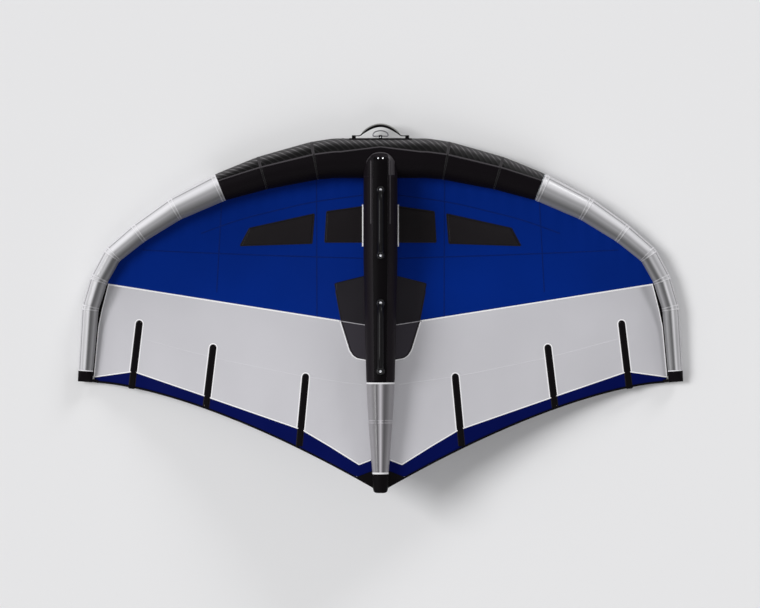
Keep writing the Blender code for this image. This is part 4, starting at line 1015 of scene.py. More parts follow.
def canopy_height(x, back, wrinkle=0.0):
    """Height of the canopy's upper face. A chord runs from the tube to the trailing edge at each
    place of the span; the cloth hangs below it by depth x chord x sin(pi x share^0.85), and small
    waves lie on it: puckers behind the tube, slack ahead of the trailing edge, broad swells."""
    x, back = np.broadcast_arrays(np.abs(np.asarray(x, float)), np.asarray(back, float))
    place = x.copy()
    tip = ATTACH[-1, 0]
    for _ in range(26):
        front_back = np.interp(place, ATTACH[:, 0], ATTACH[:, 1])
        rear_x = place * TRAILING_SPAN / tip
        rear_back = trailing_back(rear_x)
        share = (back - front_back) / (rear_back - front_back)
        place = np.clip(place + 0.5 * (x - (place + (rear_x - place) * share)), 0, tip)
    front_z = np.interp(place, ATTACH[:, 0], ATTACH[:, 2])
    out = place / tip
    root_z = float(strut_axis(np.array(TAIL_BACK)) -
                   np.interp(0.998, (0.9442, 1.0), (0.470, 0.417)) * STRUT_RADIUS * STRUT_FLAT -
                   0.0020)
    rear_z = 0.030 + (root_z - 0.030) * (1 - out) ** 1.25
    chord = np.sqrt((rear_back - front_back) ** 2 + (rear_z - front_z) ** 2)
    bulge = np.sin(math.pi * np.clip(share, 0, 1) ** 0.85)
    depth = canopy_depth(out, root_z)
    height = front_z + (rear_z - front_z) * share - depth * chord * bulge
    if wrinkle:
        behind, ahead = share * chord, (1 - share) * chord
        calm = smooth_step((x - 0.10) / 0.15)
        pucker = 0.55 * np.sin(x * math.tau / 0.083 + 1.3 * np.sin(x * 5)) \
            * np.exp(-behind / 0.085) * np.clip(behind / 0.02, 0, 1)
        slack = 0.8 * np.sin(x * math.tau / 0.21 + 2.2 * np.sin(x * 3.1)) \
            * np.exp(-ahead / 0.16)
        swell = 1.2 * np.sin(x * 7.3 + 0.6 + 2 * back) * np.sin(back * 8.1 + 1.4 * x) \
            * np.clip(4 * share * (1 - share), 0, 1)
        height = height + wrinkle * calm * (pucker + slack + swell)
    return height


def smooth_step(share):
    """Zero below nought, one above one, and smooth between."""
    share = np.clip(share, 0, 1)
    return share * share * (3 - 2 * share)


def canopy_depth(out, root_z):
    """Depth of the canopy over its chord: enough to touch the strut's kink in the middle, 5% of
    the chord between strut and tip, and none at the tip."""
    front_back, front_z = ATTACH[0, 1], ATTACH[0, 2]
    place = (STRUT_KINK - front_back) / (TAIL_BACK - front_back)
    line = front_z + (root_z - front_z) * place
    kink = np.array(STRUT_KINK)
    gap = line - float(strut_axis(kink) - 0.834 * STRUT_RADIUS * STRUT_FLAT - 0.0020)
    chord = math.hypot(TAIL_BACK - front_back, root_z - front_z)
    middle = gap / math.sin(math.pi * place ** 0.85) / chord
    return (middle + (0.050 - middle) * smooth_step(out / 0.35)) * (1 - out ** 4)


def canopy_points(x, back, lift):
    """Points of the canopy's upper face at plan places, raised by lift."""
    x, back = np.broadcast_arrays(np.asarray(x, float), np.asarray(back, float))
    wrinkle = bpy.context.scene.wing_sizes.wrinkle
    return np.stack([x, AXIS_Y - back, canopy_height(x, back, wrinkle) + lift], axis=-1)


def outline(table, x):
    """Back of a plan outline at a place along the span."""
    return np.interp(x, table[:, 0] * HALF_SPAN, table[:, 1] * ROOT_CHORD)


def attach_back(x):
    """Back of the tube's seam with the canopy."""
    return np.interp(x, ATTACH[:, 0], ATTACH[:, 1])


def edge_back(x):
    """Back of the canopy's short outer edge behind the tube."""
    rise = (TIP_BACK - ATTACH[-1, 1]) / (ATTACH[-1, 0] - TRAILING_SPAN)
    return ATTACH[-1, 1] + (ATTACH[-1, 0] - x) * rise


def hem_back(x):
    """Back of the hem's inner edge, with the corner patch beside the strut."""
    width, depth = TAIL_PATCH
    corner = np.interp(x, (0, width), (trailing_back(0) - depth,
                                       trailing_back(width) - HEM_WIDTH))
    return np.where(x < width, corner, trailing_back(x) - HEM_WIDTH)


def band_front(x):
    """Front of the white panel: the long seam, then the black band beside the tube."""
    last = SEAM[-1, 0] * HALF_SPAN
    return np.where(x < last, outline(SEAM, x), outline(TIP_BAND, x))


def panel_grid(xs, front, rear, step, lift=0.0):
    """Grid of a panel between two outlines, rows from front to rear at each place of the span."""
    rows = max(3, int((rear - front).max() / step) + 1)
    share = np.linspace(0, 1, rows)[:, None]
    back = front[None] + (rear - front)[None] * share
    x = np.broadcast_to(xs[None], back.shape)
    return canopy_points(x, back, lift), np.stack([x, -back], axis=-1)


def span_places(start, end, step, *tables):
    """Even places along the span, with the corners of the outlines among them."""
    corners = np.concatenate([t[:, 0] * HALF_SPAN for t in tables] + [[start, end]])
    even = np.linspace(start, end, int((end - start) / step) + 2)
    places = np.unique(np.concatenate([even, corners]).round(5))
    return places[(places >= start) & (places <= end)]


def canopy_panel(base, grid, plan, side, label, wall, kind="cloth"):
    """A panel of the canopy on one side, declared as a sheet."""
    ending = "_right" if side > 0 else "_left"
    name = f"{base}_{kind}{ending}"
    mesh = sheet_mesh(name, mirrored(grid, side), plan, turn=side < 0)
    piece = add_piece(name, mesh, label, [base + ending], wall)
    return piece


def build_canopy(context):
    """Blue, white, navy and black panels of both halves, and their seams."""
    first = 0.0003
    seam_end = SEAM[-1] * (HALF_SPAN, ROOT_CHORD)
    blue_end = float(np.interp(seam_end[1], ATTACH[:, 1], ATTACH[:, 0])) - 0.0008
    blue_x = span_places(first, blue_end, 0.013, SEAM)
    white_x = np.unique(np.concatenate([span_places(first, 1.5655, 0.013, SEAM, ZIGZAG, TIP_BAND),
                                        np.linspace(seam_end[0], 1.5655, 26)]))
    navy_x = span_places(first, 1.5640, 0.009, ZIGZAG)
    hem_x = np.unique(np.concatenate([span_places(first, TRAILING_SPAN + 0.002, 0.008),
                                      [TAIL_PATCH[0]]]))
    fold_shade_line = np.array([(0.684, 0.058), (0.83, 0.034), (0.96, 0.020), (1.23, 0.014)])
    for side, ending in sides():
        seams = canopy_seams(side, ending)
        grid, plan = panel_grid(blue_x, attach_back(blue_x), np.maximum(
            outline(SEAM, blue_x), attach_back(blue_x) + 0.0003), 0.013)
        canopy_panel("canopy_blue", grid, plan, side, "blue cloth", CANOPY_WALL)
        rear = outline(ZIGZAG, white_x)
        grid, plan = panel_grid(white_x, np.minimum(band_front(white_x), rear - 0.0003), rear,
                                0.013)
        panel = canopy_panel("canopy_white", grid, plan, side, "white cloth",
                             0.0010)
        # Painted shade of a soft fold a few centimetres inside the tip band, fading towards the
        # trailing edge.
        back = AXIS_Y - grid[..., 1]
        inward = np.interp(back, TIP_BAND[:, 1] * ROOT_CHORD, TIP_BAND[:, 0] * HALF_SPAN) \
            - grid[..., 0]
        middle = np.interp(back, *fold_shade_line.T)
        painted_fold_shade = np.exp(-((inward - middle) / np.where(inward < middle, 0.9, 0.45)
                          / middle) ** 2)
        depth = np.interp(back, (0.70, 0.95, 1.23), (0.34, 0.26, 0.12))
        set_painted_light(panel.data, 1 - depth * painted_fold_shade)
        front = outline(ZIGZAG, navy_x)
        rear = np.minimum(hem_back(navy_x), edge_back(navy_x))
        grid, plan = panel_grid(navy_x, front, np.maximum(rear, front + 0.0003), 0.009)
        canopy_panel("trailing_band", grid, plan, side, "navy cloth", CANOPY_WALL)
        grid, plan = panel_grid(hem_x, hem_back(hem_x), np.minimum(
            trailing_back(hem_x), edge_back(hem_x).clip(hem_back(hem_x) + 0.001)), 0.0028,
            0.0004)
        round_edge = np.sqrt(1 - np.linspace(-1, 1, len(grid)) ** 2 * 0.8)
        grid[..., 2] += 0.0006 * round_edge[:, None]
        canopy_panel("trailing_hem", grid, plan, side, "black webbing", 0.0022)
        tip_band(side, ending, seam_end)


def tip_band(side, ending, seam_end):
    """Black band between the tip's tube and the white panel, across from its inner border to
    the tube."""
    backs = np.linspace(seam_end[1], TIP_BACK - HEM_WIDTH, 60)
    inner = np.interp(backs, TIP_BAND[:, 1] * ROOT_CHORD, TIP_BAND[:, 0] * HALF_SPAN)
    outer = np.interp(backs, ATTACH[:, 1], ATTACH[:, 0])
    edge_x = ATTACH[-1, 0] - (backs - ATTACH[-1, 1]) * (ATTACH[-1, 0] - TRAILING_SPAN) / (
        TIP_BACK - ATTACH[-1, 1])
    outer = np.where(backs > ATTACH[-1, 1], edge_x, outer)
    inner = np.minimum(inner - 0.002, outer - 0.004)
    share = np.linspace(0, 1, 7)
    x = inner[:, None] + (outer - inner)[:, None] * share[None]
    back = np.broadcast_to(backs[:, None], x.shape)
    grid = canopy_points(x, back, 0.0005)
    name = "tip_band_cloth" + ending
    mesh = sheet_mesh(name, mirrored(grid, side), np.stack([x, -back], axis=-1), turn=side < 0)
    piece = add_piece(name, mesh, "black webbing", ["tip_band" + ending],
                      wall=0.0020)
    rear = TIP_BACK
    line = np.array([(1.543, rear - 0.010, 0.0318), (1.556, rear - 0.011, 0.0328),
                     (1.568, rear - 0.012, 0.0350), (1.582, rear - 0.013, 0.0380)])
    line = np.column_stack([side * line[:, 0], AXIS_Y - line[:, 1], line[:, 2]])
    tab = bar_part(evenly(line, 0.004), round_section(20, 0.0085, 0.4, 0.0013), UP)
    tab = add_piece("tip_tab" + ending, solid("tip_tab", tab), "black webbing")


def aside_of(line):
    """Level direction square to a plan line at each of its points."""
    ahead = unit(np.gradient(line, axis=0))
    return np.stack([-ahead[:, 1], ahead[:, 0]], axis=1)


def seam_part(line, width, side, height, rows=(-0.36, 0.36)):
    """A felled seam along a plan line: a low rounded band on both faces of the canopy, with its
    rows of stitches. Gives the band's part and the stitches' runs."""
    line = evenly(line, 0.010)
    across = np.linspace(-0.5, 0.5, 7)
    ring = np.concatenate([across, across[::-1]])
    proud = height * np.clip(1 - (abs(ring) / 0.5) ** 4, 0, 1)
    plan = line[:, None] + aside_of(line)[:, None] * (ring * width)[None, :, None]
    grid = canopy_points(plan[..., 0], plan[..., 1], 0.0)
    grid[..., 2] += np.where(np.arange(14) < 7, 0.0001 + proud, -0.0011 - proud)[None]
    cloth = flat_places(lengths_along(line), np.append(ring, ring[0]) * width)
    part = sheet_part(mirrored(grid, side), cloth, wrap=True, turn=side > 0)
    runs = []
    stitch_line = evenly(line, bpy.context.scene.wing_sizes.stitch)
    aside = aside_of(stitch_line)
    for share in rows:
        spot = stitch_line + aside * share * width
        for lift, up in ((height * 0.9, 1.0), (-0.0010 - height * 0.9, -1.0)):
            points = mirrored(canopy_points(spot[:, 0], spot[:, 1], lift), side)
            runs.append((points, np.broadcast_to((0.0, 0.0, up), points.shape)))
    return part, runs


def seam_piece(name, line, width, side, height, label, rows=()):
    """One seam as a piece of its own, with dark stitches where it has rows of them."""
    part, runs = seam_part(line, width, side, height, rows)
    piece = add_piece(name, joined_mesh(name, [part]), label)
    if runs:
        add_stitches(name, runs, "dark thread", 0.8)
    return piece


def plan_line(table):
    """A plan outline in metres."""
    return np.asarray(table) * (HALF_SPAN, ROOT_CHORD)


def canopy_seams(side, ending):
    """Seams of one half: the bright ones round the white panel, and the dark ones of the blue
    panel: an arc ahead of the windows, a level one behind them, and two from the tube back."""
    width = bpy.context.scene.wing_sizes.seam_width
    made = {}
    long_seam = plan_line(SEAM)
    long_seam[:, 1] += width * 0.35
    long_seam[0, 0] = 0.062
    long_seam[0, 1] = np.interp(0.062, *long_seam.T)
    zigzag = plan_line(ZIGZAG)[1:]
    zigzag[:, 1] -= width * 0.3
    fold = np.array([(0.10, 1.232), (0.42, 1.190), (0.95, 1.080), (1.30, 0.985)])
    edge = plan_line(TIP_BAND) - (width * 0.35, 0)
    edge[:, 1] = edge[:, 1].clip(edge[0, 1] + 0.004, edge[-1, 1] - 0.004)
    white = [seam_part(long_seam, width, side, 0.0012),
             seam_part(zigzag, width * 0.8, side, 0.0008),
             seam_part(edge, width * 0.7, side, 0.0008)]
    faint = [seam_part(rounded_corners(fold, 0.3, 0.02), width * 0.6, side, 0.0003, ())]
    arc = np.array([(0.098, 36.7), (0.384, 43.7), (0.766, 60.7), (0.98, 75.0)])
    arc[:, 1] *= METRES_A_PIXEL
    level = np.array([(0.098, 0.5455), (0.60, 0.530), (1.05, 0.512), (1.30, 0.500)])
    lines = [rounded_corners(line, 0.2, 0.02) for line in (arc, level)]
    lines += [np.array([(0.350, 0.105), (0.347, 0.870)]),
              np.array([(0.868, 0.235), (0.895, 0.730)])]
    blue = [seam_part(line, width * 0.7, side, 0.0005) for line in lines]
    for label, seams, colour, thread, slot in (
            ("white", white, "white seam", "white thread", "white_cloth"),
            ("faint", faint, "pale seam", "white thread", "white_cloth"),
            ("blue", blue, "blue seam", "blue thread", "blue_cloth")):
        name = f"canopy_seams_{label}{ending}"
        mesh = joined_mesh(name, [part for part, runs in seams])
        piece = add_piece(name, mesh, colour)
        runs = [run for part, group in seams for run in group]
        if runs:
            add_stitches(name, runs, thread, 0.8)
        made[label] = piece
    return made


def build_windows(context):
    """Film windows, the patch beside the strut, and their borders."""
    for side, ending in sides():
        for label, table in (("inner", INNER_WINDOW), ("outer", OUTER_WINDOW)):
            corners = plan_line(table)
            share = np.linspace(0, 1, 30)[:, None]
            top = corners[0] + (corners[1] - corners[0]) * share
            foot = corners[2] + (corners[3] - corners[2]) * share
            rows = np.linspace(0, 1, 16)[:, None, None]
            plan = top[None] + (foot - top)[None] * rows
            grid = canopy_points(plan[..., 0], plan[..., 1], 0.0007)
            trims = [window_border(corners[[0, 1, 3, 2]], f"window_border_{label}{ending}", side)]
            if label == "inner":
                trims.append(pale_window_strip(side, ending))
            canopy_panel("window_" + label, grid, plan * (1, -1), side, "window film",
                         0.0024, "film")
        patch_film(side, ending)


def window_border(corners, name, side):
    """Stitched border round a window, just inside its edge."""
    parts, runs = [], []
    for a, b in zip(corners, np.roll(corners, -1, axis=0)):
        part, rows = seam_part(np.array([a, b]), 0.008, side, 0.0014, (-0.25,))
        parts.append(part)
        runs += rows
    add_stitches(name, runs, "dark thread", 0.8)
    return add_piece(name, joined_mesh(name, parts), "film border")


def patch_film(side, ending):
    """Film patch beside the strut, lighter where it lies on white cloth, and the pale seam that
    shows across it."""
    xs = span_places(0.0012, PATCH_TOP[-1, 0] * HALF_SPAN - 0.0004, 0.009, PATCH_FOOT)
    grid, plan = panel_grid(xs, outline(PATCH_TOP, xs), outline(PATCH_FOOT, xs), 0.010, 0.0019)
    name = "centre_patch_film" + ending
    mesh = sheet_mesh(name, mirrored(grid, side), plan, turn=side < 0)
    behind = (AXIS_Y - grid[..., 1]) - outline(SEAM, grid[..., 0])
    set_values(mesh, "over_white", smooth_step(behind / 0.006))
    piece = add_piece(name, mesh, "patch film", ["centre_patch" + ending],
                      wall=0.0009)
    line = np.concatenate([plan_line(PATCH_TOP)[:-1], plan_line(PATCH_FOOT)[:0:-1]])
    line = line[line[:, 0] > 0.02] - (0.006, 0)
    trim = seam_piece("centre_patch_border" + ending, line, 0.006, side, 0.0024, "film border",
                      (0.0,))
    seam = np.array([(0.070, 0.9075), (0.2255, 0.8875)])
    seam[:, 1] = outline(SEAM, seam[:, 0]) + 0.003
    piping = seam_piece("centre_patch_seam" + ending, seam, 0.006, side, 0.0024, "grey seam")
    foot = evenly(plan_line(PATCH_FOOT)[1:], 0.006)
    foot = foot[foot[:, 1] > outline(SEAM, foot[:, 0]) + 0.004]
    foot = foot + aside_of(foot) * 0.0035
    rim = seam_piece("centre_patch_rim" + ending, foot, 0.0065, side, 0.0016, "white seam")


def pale_window_strip(side, ending):
    """Pale strip of cloth between the inner window and the strut."""
    line = np.array([(0.0965, 0.252), (0.0965, 0.480)])
    return seam_piece("window_piping" + ending, line, 0.0085, side, 0.0018, "white seam")


# ---------------------------------------------------------------- battens


def build_battens(context):
    """Pockets of webbing with a rounded head and a stitched flange; the battens in them are the
    frame's own."""
    for side, ending in sides():
        for number, shares in enumerate(BATTENS, start=1):
            head, foot = plan_line(shares)
            ahead = unit(foot - head)
            aside = np.array([-ahead[1], ahead[0]])
            length = float(np.linalg.norm(foot - head))
            half = 0.0150
            bow = np.linspace(0, 1, 9)
            runs = np.concatenate([half * (1 - np.cos(bow * math.pi / 2)),
                                   np.linspace(half, length - 0.001, 46)[1:]])
            wide = np.concatenate([half * np.sin(bow * math.pi / 2), np.full(45, half)])
            wide = np.maximum(wide, 0.0002)
            across = np.linspace(-1, 1, 15)
            ring = np.concatenate([across, across[::-1]])
            crown = 0.0049 * np.clip((1 - abs(across)) / 0.22, 0, 1) ** 0.45
            crown = np.minimum(crown, 0.0049)
            head_fall = np.clip(runs / 0.006, 0, 1)[:, None] ** 0.5
            top = 0.0004 + crown[None] * head_fall
            plan = head + ahead * runs[:, None, None] \
                + aside * (wide[:, None] * ring[None])[..., None]
            grid = canopy_points(plan[..., 0], plan[..., 1], 0.0)
            lift = np.concatenate([top, np.full_like(top, 0.0002)], axis=1)
            grid[..., 2] += lift
            end = grid[-1:].copy()
            end[..., 2] = grid[-1:, 15:, 2].mean()
            grid = np.concatenate([grid, end])
            runs = np.append(runs, runs[-1])
            cloth = flat_places(runs, np.append(ring, ring[0]) * half)
            name = f"batten_sleeve_{number}{ending}"
            mesh = welded(sheet_mesh(name, mirrored(grid, side), cloth, wrap=True,
                                     turn=side > 0))
            flange, rows = pocket_flange(head, ahead, aside, length, half, side)
            trim = add_piece(f"batten_flange_{number}{ending}", flange, "black tape")
            add_stitches(name, rows, "dark thread", 0.8)
            piece = add_piece(name, mesh, "black webbing",
                              [f"batten_pocket_{number}{ending}"])
            rim = pocket_rim(head, ahead, aside, half, side)
            rim = add_piece(f"batten_rim_{number}{ending}", rim, "white seam")


def pocket_arch(head, ahead, aside, half, reach):
    """Half circle of a given reach round a pocket's head."""
    bow = np.linspace(-math.pi / 2, math.pi / 2, 15)
    return head + ahead * half - ahead * (reach * np.cos(bow))[:, None] \
        + aside * (reach * np.sin(bow))[:, None]


def pocket_flange(head, ahead, aside, length, half, side):
    """Flat edge of a pocket: a U-shaped band round its head and both sides, with stitches."""
    arch = pocket_arch(head, ahead, aside, half, half)
    ends = [head + ahead * (length - 0.004) + aside * half * s for s in (-1, 1)]
    line = np.concatenate([[ends[0]], arch, [ends[1]]])
    part, runs = seam_part(line, 0.0085, side, 0.0006, (0.0,))
    return joined_mesh("flange", [part]), runs


def pocket_rim(head, ahead, aside, half, side):
    """Pale band that shows round a pocket where it lies on the white panel."""
    arch = pocket_arch(head, ahead, aside, half, half + 0.0070)
    legs = [arch[end] + ahead * np.linspace(0.01, 0.40, 40)[:, None] for end in (0, -1)]
    line = evenly(np.concatenate([legs[0][::-1], arch, legs[1]]), 0.004)
    line = line[line[:, 1] < outline(ZIGZAG, line[:, 0]) - 0.004]
    return joined_mesh("rim", [seam_part(line, 0.0062, side, 0.0006, ())[0]])


# ---------------------------------------------------------------- handles


def seat_height(back):
    """Height of the handles' seat, on the outside of the strut's top strip."""
    radius = float(np.interp(back, STRUT_TABLE[:, 0] * ROOT_CHORD, STRUT_TABLE[:, 1]))
    return float(strut_axis(np.array(back))) + radius * STRUT_RADIUS * STRUT_FLAT + 0.0015


def handle_axes(share):
    """Middle of a handle on its seat, its forward direction and its direction away."""
    back, reach = share * ROOT_CHORD, HANDLES["front"][1] / 4
    ahead = np.array([0, AXIS_Y - (back - reach), seat_height(back - reach)])
    behind = np.array([0, AXIS_Y - (back + reach), seat_height(back + reach)])
    along = unit(ahead - behind)
    away = np.array([0, -along[2], along[1]])
    return (ahead + behind) / 2 + away * 0.0003, along, away


def grip_path(pitch):
    """A grip's middle line in its own frame (forward, away): up at a slant from a foot, round a
    bend, level, and down again."""
    lean = np.array([-math.cos(GRIP_LEAN), math.sin(GRIP_LEAN)])
    foot = np.array([pitch / 2, SOCKET_START])
    start = foot + lean * GRIP_START
    corner = foot + lean * (GRIP_HEIGHT - SOCKET_START) / math.sin(GRIP_LEAN)
    enter, leave = corner - lean * GRIP_BEND, corner - (GRIP_BEND, 0)
    t = np.linspace(0, 1, 15)[:, None]
    bend = enter * (1 - t) ** 2 + corner * 2 * t * (1 - t) + leave * t * t
    half = np.concatenate([[start], bend])
    return np.concatenate([half, half[::-1] * (-1, 1)])


def build_handles(context):
    """Two handles on the strut: foam grips, bolted feet with a dished top, and bolts."""
    for base, (share, pitch) in HANDLES.items():
        middle, along, away = handle_axes(share)

        def placed(flat):
            return middle + flat[:, :1] * along + flat[:, 1:] * away

        path = evenly(placed(grip_path(pitch)), 0.004)
        run = lengths_along(path)
        near = np.minimum(run, run[-1] - run)
        radius = GRIP_RADIUS * (1 - 0.10 * np.exp(-(near / 0.004) ** 2))
        radius = radius * (1 - 0.020 * np.cos(math.pi * np.clip(near / 0.06, 0, 1)) ** 8)
        section = round_section(48, 1.0)[None] * radius[:, None, None]
        mesh = solid("grip", bar_part(path, section, RIGHT))
        add_piece(base + "_handle_foam", mesh, "handle foam",
                  [base + "_handle_grip"])
        collars = []
        for spot in (0.004, run[-1] - 0.004):
            places = spot + np.linspace(-0.0045, 0.0045, 9)
            line = np.stack([np.interp(places, run, c) for c in path.T], axis=1)
            ring = GRIP_RADIUS + 0.0009 * np.sqrt(np.clip(1 - np.linspace(-1, 1, 9) ** 2, 0, 1))
            section = round_section(48, 1.0)[None] * ring[:, None, None]
            collars.append(bar_part(line, section, RIGHT))
        add_piece(base + "_handle_collars", solid("collars", *collars), "handle plastic")
        for end, sign in (("front", 1), ("rear", -1)):
            foot = handle_foot(middle + along * sign * pitch / 2, along * sign, away)
            add_piece(f"{base}_foot_{end}", foot, "handle plastic",
                      [f"{base}_handle_foot_{end}"])
            bolt = handle_bolt(middle + along * sign * pitch / 2, along, away,
                               context.scene.wing_sizes.bolt)
            add_piece(f"{base}_bolt_{end}", bolt, "polished steel")


def handle_foot(spot, forward, away):
    """A foot: a cone turned about the bolt with its base bent round the strut, joined with a
    socket that leans to the grip, and both bored out for the bolt."""
    profile = np.array([(0.0, 0.0180), (0.0165, 0.0180), (0.0178, 0.0176), (0.0186, 0.0163),
                        (0.0200, 0.0125), (0.0222, 0.0070), (0.0236, 0.0048), (0.0240, 0.0036),
                        (0.0240, 0.0012), (0.0236, 0.0), (0.0200, 0.0), (0.0, 0.0)])
    points, corners, cloth = turned_part(profile, 56, spot, away, RIGHT)
    level = (points - spot) @ away
    sag = STRUT_RADIUS - np.sqrt(STRUT_RADIUS ** 2 - np.minimum(abs(points[:, 0]), 0.03) ** 2)
    points = points - away * (sag * np.clip(1 - level / 0.010, 0, 1))[:, None]
    cone = solid("cone", (points, corners, cloth))
    lean = -math.cos(GRIP_LEAN) * forward + math.sin(GRIP_LEAN) * away
    tube = [(0.0, -0.004), (0.0125, -0.004), (0.0155, 0.0), (0.0155, 0.0225), (0.0159, 0.0240),
            (0.0163, 0.0262), (0.0161, 0.0274), (0.0155, 0.0280), (0.0, 0.0280)]
    socket = solid("socket", turned_part(tube, 56, spot + away * SOCKET_START, lean, RIGHT))
    bore = [(0.0, 0.009), (0.0105, 0.009), (0.0115, 0.0100), (0.0115, 0.0163), (0.0121, 0.0174),
            (0.0130, 0.0181), (0.0130, 0.060), (0.0, 0.060)]
    dish = solid("dish", turned_part(bore, 56, spot, away, RIGHT))
    mesh = combined(combined(cone, socket, "UNION"), dish, "DIFFERENCE")
    return welded(mesh)


def handle_bolt(spot, along, away, size):
    """A domed bolt head with a hexagonal socket, on a washer at the bottom of the dish."""
    washer = [(0.0, 0.0090), (0.0112, 0.0090), (0.0112, 0.0098), (0.0106, 0.0102), (0.0, 0.0102)]
    head = [(0.0, 0.0100), (size, 0.0100), (size * 1.01, 0.0112), (size * 0.96, 0.0128),
            (size * 0.80, 0.0142), (size * 0.56, 0.0148), (size * 0.46, 0.0147),
            (size * 0.42, 0.0126), (0.0, 0.0124)]
    parts = [turned_part(washer, 40, spot, away, along)]
    points, corners, cloth = turned_part(head, 48, spot, away, along)
    flat = (points - spot) - ((points - spot) @ away)[:, None] * away
    turn = np.arctan2(flat @ np.cross(away, along), flat @ along)
    reach = np.linalg.norm(flat, axis=1)
    hexagon = math.cos(math.pi / 6) / np.cos((turn % (math.pi / 3)) - math.pi / 6)
    deep = ((points - spot) @ away < 0.0148) & (reach < size * 0.47) & (reach > 0.0001)
    points = np.where(deep[:, None], points - flat * (1 - hexagon)[:, None] * 0.9, points)
    parts.append((points, corners, cloth))
    return solid("bolt", *parts)


# ---------------------------------------------------------------- carrying handle and valve


def strap_path(reach, count):
    """Middle line of the strap ahead of its hinge line: (x, reach x (1 - share^2)), with a level
    leg at each end."""
    share = np.cos(math.pi * np.linspace(0, 1, count))
    points = np.stack([share * STRAP_ARCH, reach * (1 - share ** 2)], axis=1)
    return np.concatenate([[(0.134, 0.0)], points, [(-0.134, 0.0)]])


def strap_face(line):
    """Direction from each point of the strap's line to its outer face, level and forward."""
    out = -np.cross(unit(np.gradient(line, axis=0)), UP)
    return np.where(out[:, 1:2] < 0, -out, out)


def build_carrying_handle(context):
    """Nose patch with sewn tabs, padded strap, leash loop, rivet and ring."""
    sizes = context.scene.wing_sizes
    nose_patch(sizes)
    strap_hinge = np.array([0.0, NOSE_Y + 0.0125, AXIS_Z])
    flat = rounded_corners(strap_path(0.0592, 121), 0.014, 0.0015)
    path = strap_hinge + np.column_stack([flat, np.zeros(len(flat))])
    share = np.clip(abs(flat[:, 0]) / STRAP_ARCH, 0, 1)
    depth = 0.010 + 0.009 * (1 - share ** 4)
    pad = np.exp(-(share / 0.90) ** 10)
    plump = 0.0034 * (1 - share ** 3) * pad
    half = 0.0048 * (0.50 + 0.50 * pad) + plump
    path[:, 1] -= plump
    section = round_section(40, 1.0, 0.55)[None] * np.stack([half, depth], axis=1)[:, None]
    mesh = solid("strap", bar_part(path, section, UP))
    strap = add_piece("carry_strap", mesh, "strap sleeve", ["leading_handle_strap"],
                      body="strap")
    # Piping along the strap's outer edges: its pale grey colour is a painted highlight on the
    # rounded sleeve.
    keep = share < 0.86
    line = path[keep]
    out = strap_face(line)
    high = depth[keep][:, None] * UP * 0.92
    edge = out * (half[keep] - 0.0006)[:, None]
    parts = [bar_part(line + edge + high * s, round_section(16, 0.0034), UP) for s in (-1, 1)]
    mesh = solid("piping", *parts)
    add_piece("carry_strap_highlight_piping", mesh, "grey piping", body="strap")
    runs = []
    stitch = evenly(line, sizes.stitch)
    spot_depth = np.interp(lengths_along(stitch), lengths_along(line), depth[keep])
    face = strap_face(stitch)
    spot_half = np.interp(lengths_along(stitch), lengths_along(line), half[keep])
    for s in (-0.62, 0.62):
        row = stitch + face * (spot_half - 0.0002)[:, None] + UP * (spot_depth * s)[:, None]
        runs.append((row, face))
    add_stitches("carry_strap", runs, "dark thread", body="strap")
    leash_ring()


PATCH_HALF = 0.172
PATCH_ANGLE = math.radians(23)


def nose_patch(sizes):
    """Webbing patch on the nose, its two sewn tabs and the loop that holds the ring."""
    xs = np.linspace(-PATCH_HALF, PATCH_HALF, 70)
    angles = np.radians(np.linspace(-23, 23, 21))
    edge = np.minimum((PATCH_HALF - abs(xs))[:, None], (PATCH_ANGLE - abs(angles))[None] *
                      LE_RADIUS)
    lift = 0.0004 + 0.0012 * np.clip(edge / 0.003, 0, 1)
    grid = tube_point(MIDDLE + xs[:, None], angles[None], lift)
    cover = sheet_mesh("nose_patch", grid, flat_places(xs, angles * LE_RADIUS), turn=True)
    face = NOSE_Y - 0.0004
    for side, ending in sides():
        x = np.linspace(0.1345, 0.1560, 9)
        parts = []
        for shift, thick in ((0.0040, 0.0036), (0.0100, 0.0022), (0.0138, 0.0020)):
            line = np.stack([side * x, np.full(9, face + shift), np.full(9, AXIS_Z)], axis=1)
            parts.append(bar_part(line[::side], round_section(28, thick, 0.45, 0.0098), UP))
        name = "strap_tab" + ending
        add_piece(name, solid(name, *parts), "black webbing")
        bars = []
        for spot in (0.1375, 0.1530):
            z = np.linspace(AXIS_Z - 0.0080, AXIS_Z + 0.0080, 14)
            zig = 0.0011 * (-1.0) ** np.arange(14)
            points = np.stack([side * (spot + zig), np.full(14, face + 0.0160), z], axis=1)
            bars.append((points, np.broadcast_to((0.0, 1.0, 0.0), points.shape)))
        add_stitches(name + "_bar", bars, "light thread", 1.3)
    leash_loop(face)
    runs = []
    border_x = np.concatenate([np.linspace(-0.167, 0.167, 50), np.full(12, 0.167),
                               np.linspace(0.167, -0.167, 50), np.full(12, -0.167)])
    low, high = math.radians(-20.5), math.radians(20.5)
    border_a = np.concatenate([np.full(50, low), np.linspace(low, high, 12), np.full(50, high),
                               np.linspace(high, low, 12)])
    line = evenly(tube_point(MIDDLE + border_x, border_a, 0.0018), sizes.stitch)
    inner = line.copy()
    inner[:, 1], inner[:, 2] = AXIS_Y, AXIS_Z
    runs.append((line, unit(line - inner)))
    add_stitches("nose_patch", runs, "dark thread")
    patch = add_piece("nose_patch", cover, "black webbing", ["leading_handle_patch"],
                      wall=0.0010)


